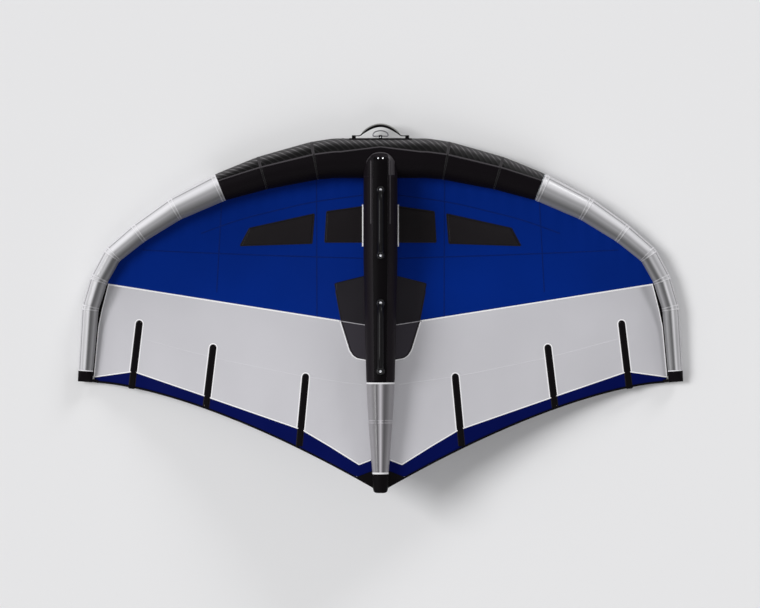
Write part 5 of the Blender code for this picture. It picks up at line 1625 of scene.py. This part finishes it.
def leash_loop(face):
    """Folded webbing that holds the ring's straight bar, and the rivet on top of it."""
    centre = np.array([face + 0.0109, AXIS_Z])
    radius = 0.0048
    bow = np.linspace(math.pi / 2 + 0.5, -math.pi / 2 - 0.5, 25)
    arc = centre + radius * np.stack([np.cos(bow), np.sin(bow)], axis=1)
    root = np.array([(face - 0.0004, AXIS_Z + 0.0056), (face + 0.0040, AXIS_Z + 0.0055)])
    line = rounded_corners(np.concatenate([root, arc, (root * (1, -1) + (0, 2 * AXIS_Z))[::-1]]),
                           0.003, 0.0008)
    path = np.column_stack([np.zeros(len(line)), line])
    section = round_section(24, 0.0013, 0.5, 0.0088)
    loop = bar_part(path, section, RIGHT)
    mesh = solid("leash_loop", loop)
    piece = add_piece("leash_loop", mesh, "black webbing")
    profile = [(0.0, -0.0004), (0.0042, -0.0004), (0.0042, 0.0004), (0.0034, 0.0013),
               (0.0020, 0.0019), (0.0, 0.0021)]
    spot = (0.0, face + 0.0042, AXIS_Z + 0.0069)
    rivet = solid("leash_rivet", turned_part(profile, 28, spot, (0, 0, 1)))
    add_piece("leash_rivet", rivet, "polished steel")
    return piece


def leash_ring():
    """The ring: a round bar along a D, its straight side in the loop."""
    bow = np.linspace(0, math.pi / 2, 12)
    right = np.stack([0.035 + 0.006 * np.sin(bow), 0.006 - 0.006 * np.cos(bow)], axis=1)
    arc = np.linspace(0, math.pi, 49)
    front = np.stack([0.041 * np.cos(arc), 0.006 + 0.024 * np.sin(arc)], axis=1)
    left = (right * (-1, 1))[::-1]
    base = np.stack([np.linspace(-0.035, 0.035, 16)[1:-1], np.zeros(14)], axis=1)
    flat = np.concatenate([right, front[1:-1], left, base])
    path = np.column_stack([flat[:, 0], NOSE_Y + 0.0105 + flat[:, 1], np.full(len(flat), AXIS_Z)])
    ahead = unit(np.roll(path, -1, axis=0) - np.roll(path, 1, axis=0))
    across = unit(np.cross(ahead, UP))
    section = round_section(24, 0.0030)
    grid = path[:, None] + across[:, None] * section[None, :, :1] + UP * section[None, :, 1:]
    grid = np.concatenate([grid, grid[:1]])
    run = lengths_along(grid.mean(axis=1))
    ring = np.append(np.arange(24), 24) * math.tau / 24 * 0.003
    mesh = solid("ring", sheet_part(grid, flat_places(run, ring), wrap=True))
    add_piece("leash_ring_bar", mesh, "brushed metal", ["leash_ring"], body="ring")


def build_valve(context):
    """Ribbed cap of the inflation valve, and the stitched ring of cloth round its flange."""
    out = unit(VALVE_SEAT - np.array([VALVE_SEAT[0], AXIS_Y, AXIS_Z]))
    flange = 0.0003 + 0.0028
    top = flange + 0.0062 + 0.0003 + 0.0018
    foot = flange + 0.0030 - 0.0022
    outer, inner = 0.0167, 0.0145
    profile = np.array([(0.0, top - 0.0018), (inner, top - 0.0018), (inner, foot),
                        (outer, foot), (outer, top - 0.0026), (outer - 0.0006, top - 0.0010),
                        (outer - 0.0018, top - 0.0001), (outer - 0.0034, top),
                        (outer - 0.0044, top - 0.0005), (0.0, top - 0.0005)])
    points, corners, cloth = turned_part(profile, 120, VALVE_SEAT, out, RIGHT)
    flat = points - VALVE_SEAT
    height = flat @ out
    radial = flat - height[:, None] * out
    reach = np.linalg.norm(radial, axis=1)
    turn = np.arctan2(radial @ np.cross(out, RIGHT), radial @ RIGHT)
    ribbed = (reach > outer - 0.0003) & (abs(turn) > 0.35)
    points = points - unit(radial) * (ribbed * 0.0005 * (0.5 - 0.5 * np.cos(30 * turn)))[:, None]
    mid = flange + 0.0019
    line = VALVE_SEAT + np.outer(np.linspace(0.0158, 0.0203, 6), RIGHT) + out * mid
    tongue = bar_part(line, round_section(20, 0.0034, 0.4, 0.0010), out)
    mesh = solid("cap", (points, corners, cloth), tongue)
    add_piece("valve_cap_ribbed", mesh, "valve plastic", ["valve_cap"],
              body="cap")


def rounded_ends(places, reach):
    """How full a bladder is along its run: a quarter round over reach at each end, and whole
    between."""
    near = np.minimum(places - places[0], places[-1] - places)
    return np.sqrt(np.clip(1 - (1 - np.clip(near / reach, 0, 1)) ** 2, 0.0, 1))


def bladder(name, node_name, grid, cloth, turn=False):
    """A bladder's film from its grid, as a piece and a sheet."""
    mesh = sheet_mesh(name, grid, cloth, wrap=True, turn=turn)
    piece = add_piece(name, mesh, "bladder film", [node_name], wall=0.0007)


def build_bladders(context):
    """Air bladders as clear film inside the cloth, with round ends."""
    turn = round_angles(40)
    places = np.linspace(KNOT_PLACES[0] + 0.012, KNOT_PLACES[-1] - 0.012, 220)
    full = np.maximum(rounded_ends(places, 0.03), 0.001)
    lift = -0.0032 - (tube_radius(places) * ROUND_SHARE - 0.0032) * (1 - full)
    grid = tube_point(places[:, None], turn[None], lift[:, None], 0.0032)
    bladder("le_air_bladder", "le_bladder", grid,
            flat_places(places, closed_turn(turn) * LE_RADIUS), turn=True)
    backs = np.linspace(0.125, STRUT_SEAMS[3] - 0.020, 120)
    size = (strut_size(backs) - 0.0032) * np.maximum(rounded_ends(backs, 0.02), 0.002)
    bladder("strut_air_bladder", "strut_bladder", strut_rings(backs, size, turn),
            flat_places(backs, closed_turn(turn) * STRUT_RADIUS))


def dress_kept_nodes(context):
    """Finishes of the frame's own nodes that stay in sight or in place."""
    finishes = {"transfer_tube": "bladder film", "valve_body": "valve plastic",
                "valve_insert": "valve insert"}
    for _, ending in sides():
        for number in (1, 2, 3):
            finishes[f"batten_{number}{ending}"] = "batten rod"
    for node, label in finishes.items():
        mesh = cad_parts[node].data
        mesh.materials.clear()
        mesh.materials.append(finish(label))


# ---------------------------------------------------------------- finishes


def feed(tree, socket, value):
    """Give a shader's input a value or another node's output."""
    if isinstance(value, bpy.types.NodeSocket):
        tree.links.new(value, socket)
    else:
        socket.default_value = value


def node(tree, kind, inputs=None, **settings):
    """A shader node with its settings and inputs; an input is a value or another's output."""
    made = tree.nodes.new(kind)
    for key, value in settings.items():
        setattr(made, key, value)
    for key, value in (inputs or {}).items():
        feed(tree, made.inputs[key], value)
    return made


def calc(tree, operation, *values):
    """A Math node's output."""
    return node(tree, "ShaderNodeMath", dict(enumerate(values)), operation=operation).outputs[0]


def blend_colours(tree, share, first, second, blend="MIX"):
    """One colour laid over another by a share."""
    inputs = {0: share, 6: first, 7: second}
    return node(tree, "ShaderNodeMix", inputs, data_type="RGBA", blend_type=blend).outputs[2]


def group(name, inputs, outputs):
    """An empty node group with named sockets, its input sockets and its output node."""
    made = bpy.data.node_groups.new(name, "ShaderNodeTree")
    kinds = {"v": "NodeSocketVector", "f": "NodeSocketFloat", "c": "NodeSocketColor"}
    for label, kind, value in inputs:
        socket = made.interface.new_socket(label, in_out="INPUT", socket_type=kinds[kind])
        if value is not None:
            socket.default_value = value
    for label, kind in outputs:
        made.interface.new_socket(label, in_out="OUTPUT", socket_type=kinds[kind])
    return made, made.nodes.new("NodeGroupInput").outputs, made.nodes.new("NodeGroupOutput")


def weave_group():
    """Plain weave with a ripstop grid: height of sin x sin over the thread spacing, and raised
    lines every few millimetres."""
    tree, given, made = group("Weave", [("Place", "v", None), ("Thread", "f", 0.0012),
                                        ("Ripstop", "f", 0.006), ("Ripstop share", "f", 0.5)],
                              [("Height", "f"), ("Ripstop lines", "f")])
    split = node(tree, "ShaderNodeSeparateXYZ", {0: given["Place"]})
    waves, lines = [], []
    for axis in ("X", "Y"):
        turn = calc(tree, "MULTIPLY", calc(tree, "DIVIDE", split.outputs[axis],
                                           given["Thread"]), math.tau)
        waves.append(calc(tree, "SINE", turn))
        cell = calc(tree, "FRACT", calc(tree, "DIVIDE", split.outputs[axis], given["Ripstop"]))
        off = calc(tree, "ABSOLUTE", calc(tree, "SUBTRACT", cell, 0.5))
        lines.append(calc(tree, "MULTIPLY", calc(tree, "SUBTRACT", off, 0.42), 12.5))
    cross = calc(tree, "MULTIPLY", waves[0], waves[1])
    grid = calc(tree, "MAXIMUM", calc(tree, "MAXIMUM", lines[0], lines[1]), 0.0)
    both = calc(tree, "ADD", calc(tree, "MULTIPLY", cross, 0.5),
                calc(tree, "MULTIPLY", grid, given["Ripstop share"]))
    tree.links.new(both, made.inputs["Height"])
    tree.links.new(grid, made.inputs["Ripstop lines"])


def tone_group():
    """Slow changes of tone, and rubbed places, over a surface."""
    tree, given, made = group("Tone", [("Place", "v", None), ("Colour", "c", None),
                                       ("Shade", "c", None), ("Size", "f", 2.0),
                                       ("Rubbed", "f", 0.3)],
                              [("Colour", "c"), ("Rubbed", "f")])
    broad = node(tree, "ShaderNodeTexNoise", {"Vector": given["Place"], "Scale": given["Size"],
                                              "Detail": 3.0, "Roughness": 0.55})
    fine = node(tree, "ShaderNodeTexNoise", {
        "Vector": given["Place"], "Scale": calc(tree, "MULTIPLY", given["Size"], 23.0),
        "Detail": 4.0, "Roughness": 0.65})
    share = node(tree, "ShaderNodeMapRange", {0: broad.outputs[0], 1: 0.38, 2: 0.68})
    rub = node(tree, "ShaderNodeMapRange", {0: fine.outputs[0], 1: 0.55, 2: 0.75})
    rubbed = calc(tree, "MULTIPLY", calc(tree, "MULTIPLY", rub.outputs[0], share.outputs[0]),
                  given["Rubbed"])
    colour = blend_colours(tree, share.outputs[0], given["Colour"], given["Shade"])
    tree.links.new(colour, made.inputs["Colour"])
    tree.links.new(rubbed, made.inputs["Rubbed"])


def rib_group():
    """Ribs at a slant: raised lines across x cos(angle) + y sin(angle)."""
    tree, given, made = group("Ribs", [("Place", "v", None), ("Spacing", "f", 0.02),
                                       ("Across", "f", 0.7), ("Along", "f", 0.7)],
                              [("Height", "f"), ("Ribs", "f")])
    split = node(tree, "ShaderNodeSeparateXYZ", {0: given["Place"]})
    slant = calc(tree, "ADD", calc(tree, "MULTIPLY", split.outputs["X"], given["Across"]),
                 calc(tree, "MULTIPLY", split.outputs["Y"], given["Along"]))
    turn = calc(tree, "MULTIPLY", calc(tree, "DIVIDE", slant, given["Spacing"]), math.tau)
    wave = calc(tree, "ADD", calc(tree, "MULTIPLY", calc(tree, "SINE", turn), 0.5), 0.5)
    tree.links.new(wave, made.inputs["Height"])
    tree.links.new(calc(tree, "POWER", wave, 3.0), made.inputs["Ribs"])


def placed_group(tree, name, **values):
    """A node group placed in a material with its own values, each named as its socket."""
    made = tree.nodes.new("ShaderNodeGroup")
    made.node_tree = bpy.data.node_groups[name]
    for key, value in values.items():
        feed(tree, made.inputs[key.replace("_", " ")], value)
    return made.outputs


FINISHES = {}
MADE = {}


def finish(label):
    """A finish by its name, made once."""
    if label not in MADE:
        kind, values = FINISHES[label]
        MADE[label] = kind(label, **values)
    return MADE[label]


def new_finish(label, **constants):
    """A material and its tree, shader, and the two places its patterns read."""
    made = bpy.data.materials.new(label)
    made.use_nodes = True
    tree = made.node_tree
    shader = tree.nodes["Principled BSDF"]
    for key, value in constants.items():
        shader.inputs[key.replace("_", " ")].default_value = value
    places = node(tree, "ShaderNodeTexCoord")
    return made, tree, shader, places.outputs


def end_finish(tree, shader, base, rubbed, roughness, height, bump, depth=0.0006):
    """Link a finish's colour, its roughness, which runs from the first value to the second as
    the rubbed mask does from nought to one, and its bump."""
    rough = node(tree, "ShaderNodeMapRange",
                 {0: rubbed, 3: roughness[0], 4: min(1.0, roughness[1])})
    lift = node(tree, "ShaderNodeBump", {"Height": height, "Strength": bump, "Distance": depth})
    for key, value in (("Base Color", base), ("Roughness", rough.outputs[0]),
                       ("Normal", lift.outputs[0])):
        tree.links.new(value, shader.inputs[key])


def opaque(colour):
    """A colour with full alpha."""
    return (*[float(c) for c in colour], 1.0)


def cloth_finish(label, colour, shade=0.82, roughness=0.5, thread=0.0012, ripstop=0.006,
                 ripstop_share=0.5, bump=0.25, size=2.0, coat=0.0, slant=None, line_light=0.12,
                 shine=0.06, painted_light_bands=False):
    """Woven cloth: weave and ripstop as bump, slow changes of tone, a little rubbing, ribs
    where slant gives their spacing, direction and lightness, and the piece's own tones where
    it is banded."""
    made, tree, shader, places = new_finish(label, Coat_Weight=coat, Coat_Roughness=0.2,
                                            Specular_IOR_Level=shine)
    weave = placed_group(tree, "Weave", Place=places["UV"], Thread=thread, Ripstop=ripstop,
                         Ripstop_share=ripstop_share)
    tone = placed_group(tree, "Tone", Place=places["Object"], Colour=opaque(colour),
                        Shade=opaque(np.array(colour) * shade), Size=size, Rubbed=0.5)
    lighter = opaque(np.minimum(np.array(colour) * 1.35 + 0.004, 1.0))
    lines = calc(tree, "MULTIPLY", weave["Ripstop lines"], line_light)
    base = blend_colours(tree, lines, tone["Colour"], lighter)
    height = weave["Height"]
    if slant:
        spacing, across, along, light, sharp = slant
        ribs = placed_group(tree, "Ribs", Place=places["UV"], Spacing=spacing, Across=across,
                            Along=along)
        raised = calc(tree, "POWER", ribs["Ribs"], sharp)
        base = blend_colours(tree, calc(tree, "MULTIPLY", raised, 0.8), base, opaque(light))
        height = calc(tree, "ADD", calc(tree, "MULTIPLY", height, 0.3),
                      calc(tree, "MULTIPLY", ribs["Height"], 1.6))
    # The stored tone attribute is painted light and shade, multiplied into the colour.
    if painted_light_bands:
        bands = node(tree, "ShaderNodeAttribute", attribute_name="tone")
        base = blend_colours(tree, 1.0, base, bands.outputs["Color"], "MULTIPLY")
    end_finish(tree, shader, base, tone["Rubbed"], (roughness, roughness + 0.25), height, bump)
    return made


DIAGONAL = 0.707


def film_finish(label, colour, over=None, roughness=0.24):
    """Laminated film with a slanted scrim of threads, lighter where it lies on white cloth."""
    made, tree, shader, places = new_finish(label, Specular_IOR_Level=0.03)
    ribs = [placed_group(tree, "Ribs", Place=places["UV"], Spacing=0.011, Across=DIAGONAL,
                         Along=along)["Ribs"] for along in (DIAGONAL, -DIAGONAL)]
    scrim = calc(tree, "POWER", calc(tree, "MAXIMUM", *ribs), 4.0)
    tone = placed_group(tree, "Tone", Place=places["Object"], Colour=opaque(colour),
                        Shade=opaque(np.array(colour) * 0.8), Size=3.0, Rubbed=0.6)
    light = opaque(np.array(colour) * 1.6 + 0.004)
    base = tone["Colour"]
    if over is not None:
        spread = node(tree, "ShaderNodeAttribute", attribute_name="over_white")
        base = blend_colours(tree, spread.outputs["Fac"], base, opaque(over))
    base = blend_colours(tree, calc(tree, "MULTIPLY", scrim, 0.45), base, light)
    end_finish(tree, shader, base, tone["Rubbed"], (roughness, roughness + 0.3), scrim, 0.3,
               0.0005)
    return made


def hard_finish(label, colour, roughness, grain=90.0, bump=0.15, metallic=0.0, coat=0.0,
                streak=1.0, clear=0.0, shine=0.5):
    """Moulded plastic, rubber, foam or metal: fine grain as bump, rubbed places lighter and of
    another roughness; streak draws the grain out along one way."""
    made, tree, shader, places = new_finish(label, Metallic=metallic, Coat_Weight=coat,
                                            Transmission_Weight=clear, Specular_IOR_Level=shine)
    tone = placed_group(tree, "Tone", Place=places["Object"], Colour=opaque(colour),
                        Shade=opaque(np.array(colour) * 0.8), Size=9.0, Rubbed=0.7)
    worn = opaque(np.minimum(np.array(colour) * 1.6 + 0.01, 1.0))
    base = blend_colours(tree, tone["Rubbed"], tone["Colour"], worn)
    stretch = node(tree, "ShaderNodeMapping", {"Vector": places["Object"],
                                               "Scale": (1.0, streak, 1.0)})
    speck = node(tree, "ShaderNodeTexNoise", {"Vector": stretch.outputs[0], "Scale": grain * 8,
                                              "Detail": 2.0})
    end_finish(tree, shader, base, tone["Rubbed"], (roughness, roughness + 0.22), speck.outputs[0],
               bump)
    return made


def add_finishes(kind, table):
    """Note finishes of one kind, to be made when a piece first asks for them."""
    for label, values in table.items():
        FINISHES[label] = kind, values


def define_finishes(colours):
    """The wing's finishes, each with its kind and values."""
    black, grey, web = (np.array(c) for c in (colours.black, colours.grey, colours.webbing))
    white = np.array(colours.white)
    add_finishes(cloth_finish, {
        "black cloth": dict(colour=black * 0.42, roughness=0.45, thread=0.0016, ripstop=0.0075,
                            ripstop_share=0.3,
                            slant=(0.0060, DIAGONAL, DIAGONAL, black * 1.1 + 0.0005, 1.0),
                            bump=0.22, line_light=0.05, shine=0.03),
        "strut black cloth": dict(colour=black * 0.75, roughness=0.42, thread=0.0016,
                                  ripstop=0.0075, ripstop_share=0.3,
                                  slant=(0.0060, DIAGONAL, DIAGONAL, black * 1.8 + 0.001, 1.0),
                                  bump=0.22, line_light=0.05),
        # The ribs' light colour is painted sheen, and the stored bands are a painted highlight
        # along the front edge.
        "ribbed black cloth": dict(
            colour=screen(80, 78, 80), roughness=0.36, thread=0.0016, ripstop=0.010,
            ripstop_share=0.2, bump=0.4, line_light=0.05, shine=0.06, painted_light_bands=True,
            slant=(RIB_SPACING, RIB_ACROSS, RIB_ALONG, screen(158, 156, 158), 3.0)),
        # The right facet's lighter colour is a painted highlight, and the left one's darker colour
        # painted shade.
        "nose facet left": dict(colour=black * 0.9 + 0.001, roughness=0.4, ripstop_share=0.1),
        "nose facet right": dict(colour=black * 3.0 + 0.020, roughness=0.34, ripstop_share=0.1,
                                 shine=0.3),
        "nose edge": dict(colour=black * 3.0 + 0.030, roughness=0.36, ripstop_share=0.1,
                          shine=0.3),
        "smooth black strip": dict(colour=black * 0.30, roughness=0.5, ripstop_share=0.1,
                                   bump=0.12, line_light=0.0, shine=0.03),
        "grey cloth": dict(colour=grey, shade=0.90, roughness=0.32, thread=0.0014, ripstop=0.0060,
                           ripstop_share=0.4, coat=0.30, bump=0.18, line_light=0.10, shine=0.3,
                           painted_light_bands=True),
        "strut grey cloth": dict(colour=colours.strut_grey, shade=0.88, roughness=0.32,
                                 thread=0.0014, ripstop=0.0060, ripstop_share=0.4, coat=0.2,
                                 bump=0.18, shine=0.2, painted_light_bands=True),
        "blue cloth": dict(colour=colours.blue, shade=0.82, roughness=0.50, size=1.1,
                           line_light=0.08, shine=0.02),
        "white cloth": dict(colour=white, shade=0.93, roughness=0.50, size=1.1, line_light=0.15,
                            shine=0.2, painted_light_bands=True),
        "navy cloth": dict(colour=colours.navy, shade=0.85, roughness=0.50, shine=0.02),
        "blue seam": dict(colour=colours.blue_seam, roughness=0.5, shine=0.02),
        "white seam": dict(colour=colours.white_seam, roughness=0.5, shade=0.96, shine=0.2),
        "pale seam": dict(colour=white * 1.07, roughness=0.5, shade=0.97, shine=0.2),
        "grey seam": dict(colour=screen(176, 174, 179), roughness=0.5),
        "black tape": dict(colour=black * 1.4 + 0.001, roughness=0.42, ripstop_share=0.1),
        "black ring tape": dict(colour=screen(58, 56, 58), roughness=0.42, ripstop_share=0.1,
                                shine=0.06, painted_light_bands=True),
        "grey tape": dict(colour=colours.grey_tape, shade=0.94, roughness=0.36, coat=0.25,
                          ripstop_share=0.1, shine=0.3, painted_light_bands=True),
        "strut grey tape": dict(colour=np.array(colours.strut_grey) * 1.1, shade=0.94,
                                roughness=0.36, coat=0.2, ripstop_share=0.1, shine=0.3,
                                painted_light_bands=True),
        "rim tape": dict(colour=screen(226, 225, 228), shade=0.97, roughness=0.36, coat=0.2,
                         ripstop_share=0.1),
        "black welt": dict(colour=black * 3.0 + 0.045, roughness=0.40, ripstop_share=0.1),
        "grey welt": dict(colour=grey * 0.42, shade=0.9, roughness=0.40, coat=0.2,
                          ripstop_share=0.1),
        "strut welt": dict(colour=black * 2.2 + 0.014, roughness=0.36, ripstop_share=0.1,
                           shine=0.2),
        "strut grey welt": dict(colour=np.array(colours.strut_grey) * 0.26, roughness=0.4,
                                ripstop_share=0.1),
        "film border": dict(colour=np.array(colours.film) * 0.75, roughness=0.4),
        "black webbing": dict(colour=web, roughness=0.55, thread=0.0024,
                              slant=(0.0024, 0.9, 0.45, web * 1.5 + 0.0006, 1.0), size=6.0,
                              shine=0.03),
        "strap sleeve": dict(colour=web * 1.2, roughness=0.6, thread=0.0032,
                             slant=(0.0032, 0.9, 0.45, web * 2.0 + 0.001, 1.0), size=6.0,
                             shine=0.05),
        "grey piping": dict(colour=screen(140, 140, 138), roughness=0.5, thread=0.0015, shine=0.3),
    })
    add_finishes(film_finish, {
        "window film": dict(colour=colours.film),
        "patch film": dict(colour=colours.patch, over=screen(56, 53, 59), roughness=0.30),
    })
    add_finishes(hard_finish, {label + " thread": dict(colour=colour, roughness=0.6, grain=200.0)
                               for label, colour in (("dark", colours.thread),
                                                     ("light", grey * 0.6),
                                                     ("white", white * 0.95),
                                                     ("blue", np.array(colours.blue) * 0.7))})
    add_finishes(hard_finish, {
        "handle foam": dict(colour=screen(11, 10, 12), roughness=0.34, grain=150.0, bump=0.10,
                            shine=0.10),
        "handle plastic": dict(colour=screen(14, 13, 15), roughness=0.30, grain=110.0, shine=0.3),
        "polished steel": dict(colour=screen(225, 226, 230), roughness=0.16, grain=60.0, bump=0.03,
                               metallic=1.0),
        "brushed metal": dict(colour=screen(120, 120, 126), roughness=0.30, grain=60.0, bump=0.10,
                              metallic=1.0, streak=0.1),
        "valve plastic": dict(colour=screen(44, 44, 48), roughness=0.35, grain=100.0),
        "valve insert": dict(colour=screen(150, 152, 156), roughness=0.35, grain=100.0),
        "bladder film": dict(colour=screen(225, 230, 235), roughness=0.2, grain=40.0, bump=0.1,
                             clear=0.6),
        "batten rod": dict(colour=screen(215, 214, 205), roughness=0.35, grain=50.0, streak=0.05),
    })


# ---------------------------------------------------------------- stage


def lamp(name, direction, share, spread):
    """A wide sun that adds this share to a level surface's light."""
    toward = unit(np.array(direction, float))
    light = bpy.data.lights.new(name, "SUN")
    light.energy = math.pi * share / max(toward[2], 0.2)
    light.angle = math.radians(spread)
    made = bpy.data.objects.new(name, light)
    bpy.context.scene.collection.objects.link(made)
    made.rotation_euler = (math.acos(toward[2]), 0.0,
                           math.atan2(toward[0], -toward[1]))
    return made


def build_stage(context):
    """Pale floor, soft light, plain background and the camera straight above."""
    scene = context.scene
    reach = 400.0
    share = np.linspace(-1, 1, 9)
    spread = np.sign(share) * abs(share) ** 2 * reach
    x, y = np.meshgrid(spread, spread, indexing="ij")
    grid = np.stack([x, y, np.full_like(x, -0.0002)], axis=-1)
    floor = bpy.data.objects.new("floor", sheet_mesh("floor", grid, grid[..., :2]))
    scene.collection.objects.link(floor)
    paint = new_finish("floor paint", Roughness=0.95, Specular_IOR_Level=0.0,
                       Base_Color=opaque((0.80, 0.80, 0.81)))[0]
    floor.data.materials.append(paint)
    world = bpy.data.worlds.new("studio")
    scene.world = world
    world.use_nodes = True
    tree = world.node_tree
    back = tree.nodes["Background"]
    back.inputs["Color"].default_value = opaque((1.0, 1.0, 1.0))
    back.inputs["Strength"].default_value = 0.28
    pale = node(tree, "ShaderNodeBackground", {"Color": opaque((0.80, 0.80, 0.81)),
                                               "Strength": 1.0})
    rays = node(tree, "ShaderNodeLightPath")
    seen = calc(tree, "MAXIMUM", calc(tree, "MAXIMUM", rays.outputs["Is Camera Ray"],
                                      rays.outputs["Is Transmission Ray"]),
                rays.outputs["Is Glossy Ray"])
    mix = node(tree, "ShaderNodeMixShader", {0: seen, 1: back.outputs[0], 2: pale.outputs[0]})
    tree.links.new(mix.outputs[0], tree.nodes["World Output"].inputs["Surface"])
    lamp("key", (-0.78, 0.22, 0.82), 0.43, 24)
    lamp("high lamp", (0.0, -0.05, 1.0), 0.05, 8)
    lamp("front right", (0.50, 0.86, 0.30), 0.10, 16)
    lamp("rear", (0.10, -1.0, 0.80), 0.09, 40)
    lamp("left", (-1.0, 0.05, 0.45), 0.03, 30)
    aim = (-0.0027, 0.0213)
    distance = 40.0
    data = bpy.data.cameras.new("camera")
    data.sensor_width = 36.0
    data.lens = 36.0 * distance / (METRES_A_PIXEL * PHOTO_WIDTH)
    data.clip_end = 200.0
    camera = bpy.data.objects.new("camera", data)
    scene.collection.objects.link(camera)
    camera.location = (*aim, distance + 0.10)
    scene.camera = camera
    scene.view_settings.view_transform = "Standard"


# ---------------------------------------------------------------- operators and panel


class WING_OT_base:
    """What the operators share."""

    bl_options = {"REGISTER", "UNDO"}
    build = None

    def execute(self, context):
        type(self).build(context)
        return {"FINISHED"}


def operator(name, label, text, build):
    """An operator class that runs one building function."""
    return type(f"WING_OT_{name}", (WING_OT_base, bpy.types.Operator), {
        "bl_idname": f"wing.{name}", "bl_label": label, "__doc__": text,
        "bl_description": text, "build": staticmethod(build)})


OPERATORS = [
    operator("leading_edge", "Leading edge", "Make the tube's panels, tapes and seams",
             build_leading_edge),
    operator("tip_caps", "Tip caps", "Make the caps that close the wing tips", build_tip_caps),
    operator("bladders", "Bladders", "Make the air bladders", build_bladders),
    operator("strut", "Strut", "Make the strut's panels, strip, tapes, studs and web",
             build_strut),
    operator("canopy", "Canopy", "Make the canopy's panels and seams", build_canopy),
    operator("windows", "Windows", "Make the windows and the film patch", build_windows),
    operator("battens", "Batten pockets", "Make the batten pockets", build_battens),
    operator("handles", "Strut handles", "Make the two handles on the strut", build_handles),
    operator("carrying_handle", "Carrying handle", "Make the strap, its patch and the ring",
             build_carrying_handle),
    operator("valve", "Valve", "Make the valve's cap", build_valve),
    operator("kept_nodes", "Frame's own parts", "Give the frame's own parts their finish",
             dress_kept_nodes),
    operator("stage", "Stage", "Make the floor, the light and the camera", build_stage),
]


class WING_PT_panel(bpy.types.Panel):
    """The wing's sizes, colours and pieces."""

    bl_label = "Wingfoil wing"
    bl_idname = "WING_PT_panel"
    bl_space_type = "VIEW_3D"
    bl_region_type = "UI"
    bl_category = "Wing"

    def draw(self, context):
        layout = self.layout
        for group_name in ("wing_sizes", "wing_colours"):
            values = getattr(context.scene, group_name)
            box = layout.box()
            for key in values.bl_rna.properties.keys():
                if key not in ("rna_type", "name"):
                    box.prop(values, key)
        for made in OPERATORS:
            layout.operator(made.bl_idname)


CLASSES = [WingSizes, WingColours, *OPERATORS, WING_PT_panel]


def register():
    """Register the classes and the scene's two groups of values."""
    for item in CLASSES:
        bpy.utils.register_class(item)
    bpy.types.Scene.wing_sizes = bpy.props.PointerProperty(type=WingSizes)
    bpy.types.Scene.wing_colours = bpy.props.PointerProperty(type=WingColours)


def unregister():
    """Take the groups and the classes away again."""
    del bpy.types.Scene.wing_colours
    del bpy.types.Scene.wing_sizes
    for item in reversed(CLASSES):
        bpy.utils.unregister_class(item)


def main():
    """Build everything on the frame and write the size of both boxes."""
    register()
    weave_group()
    tone_group()
    rib_group()
    define_finishes(bpy.context.scene.wing_colours)
    for made in OPERATORS:
        getattr(bpy.ops.wing, made.bl_idname.split(".")[1])()


if __name__ == "__main__":
    main()
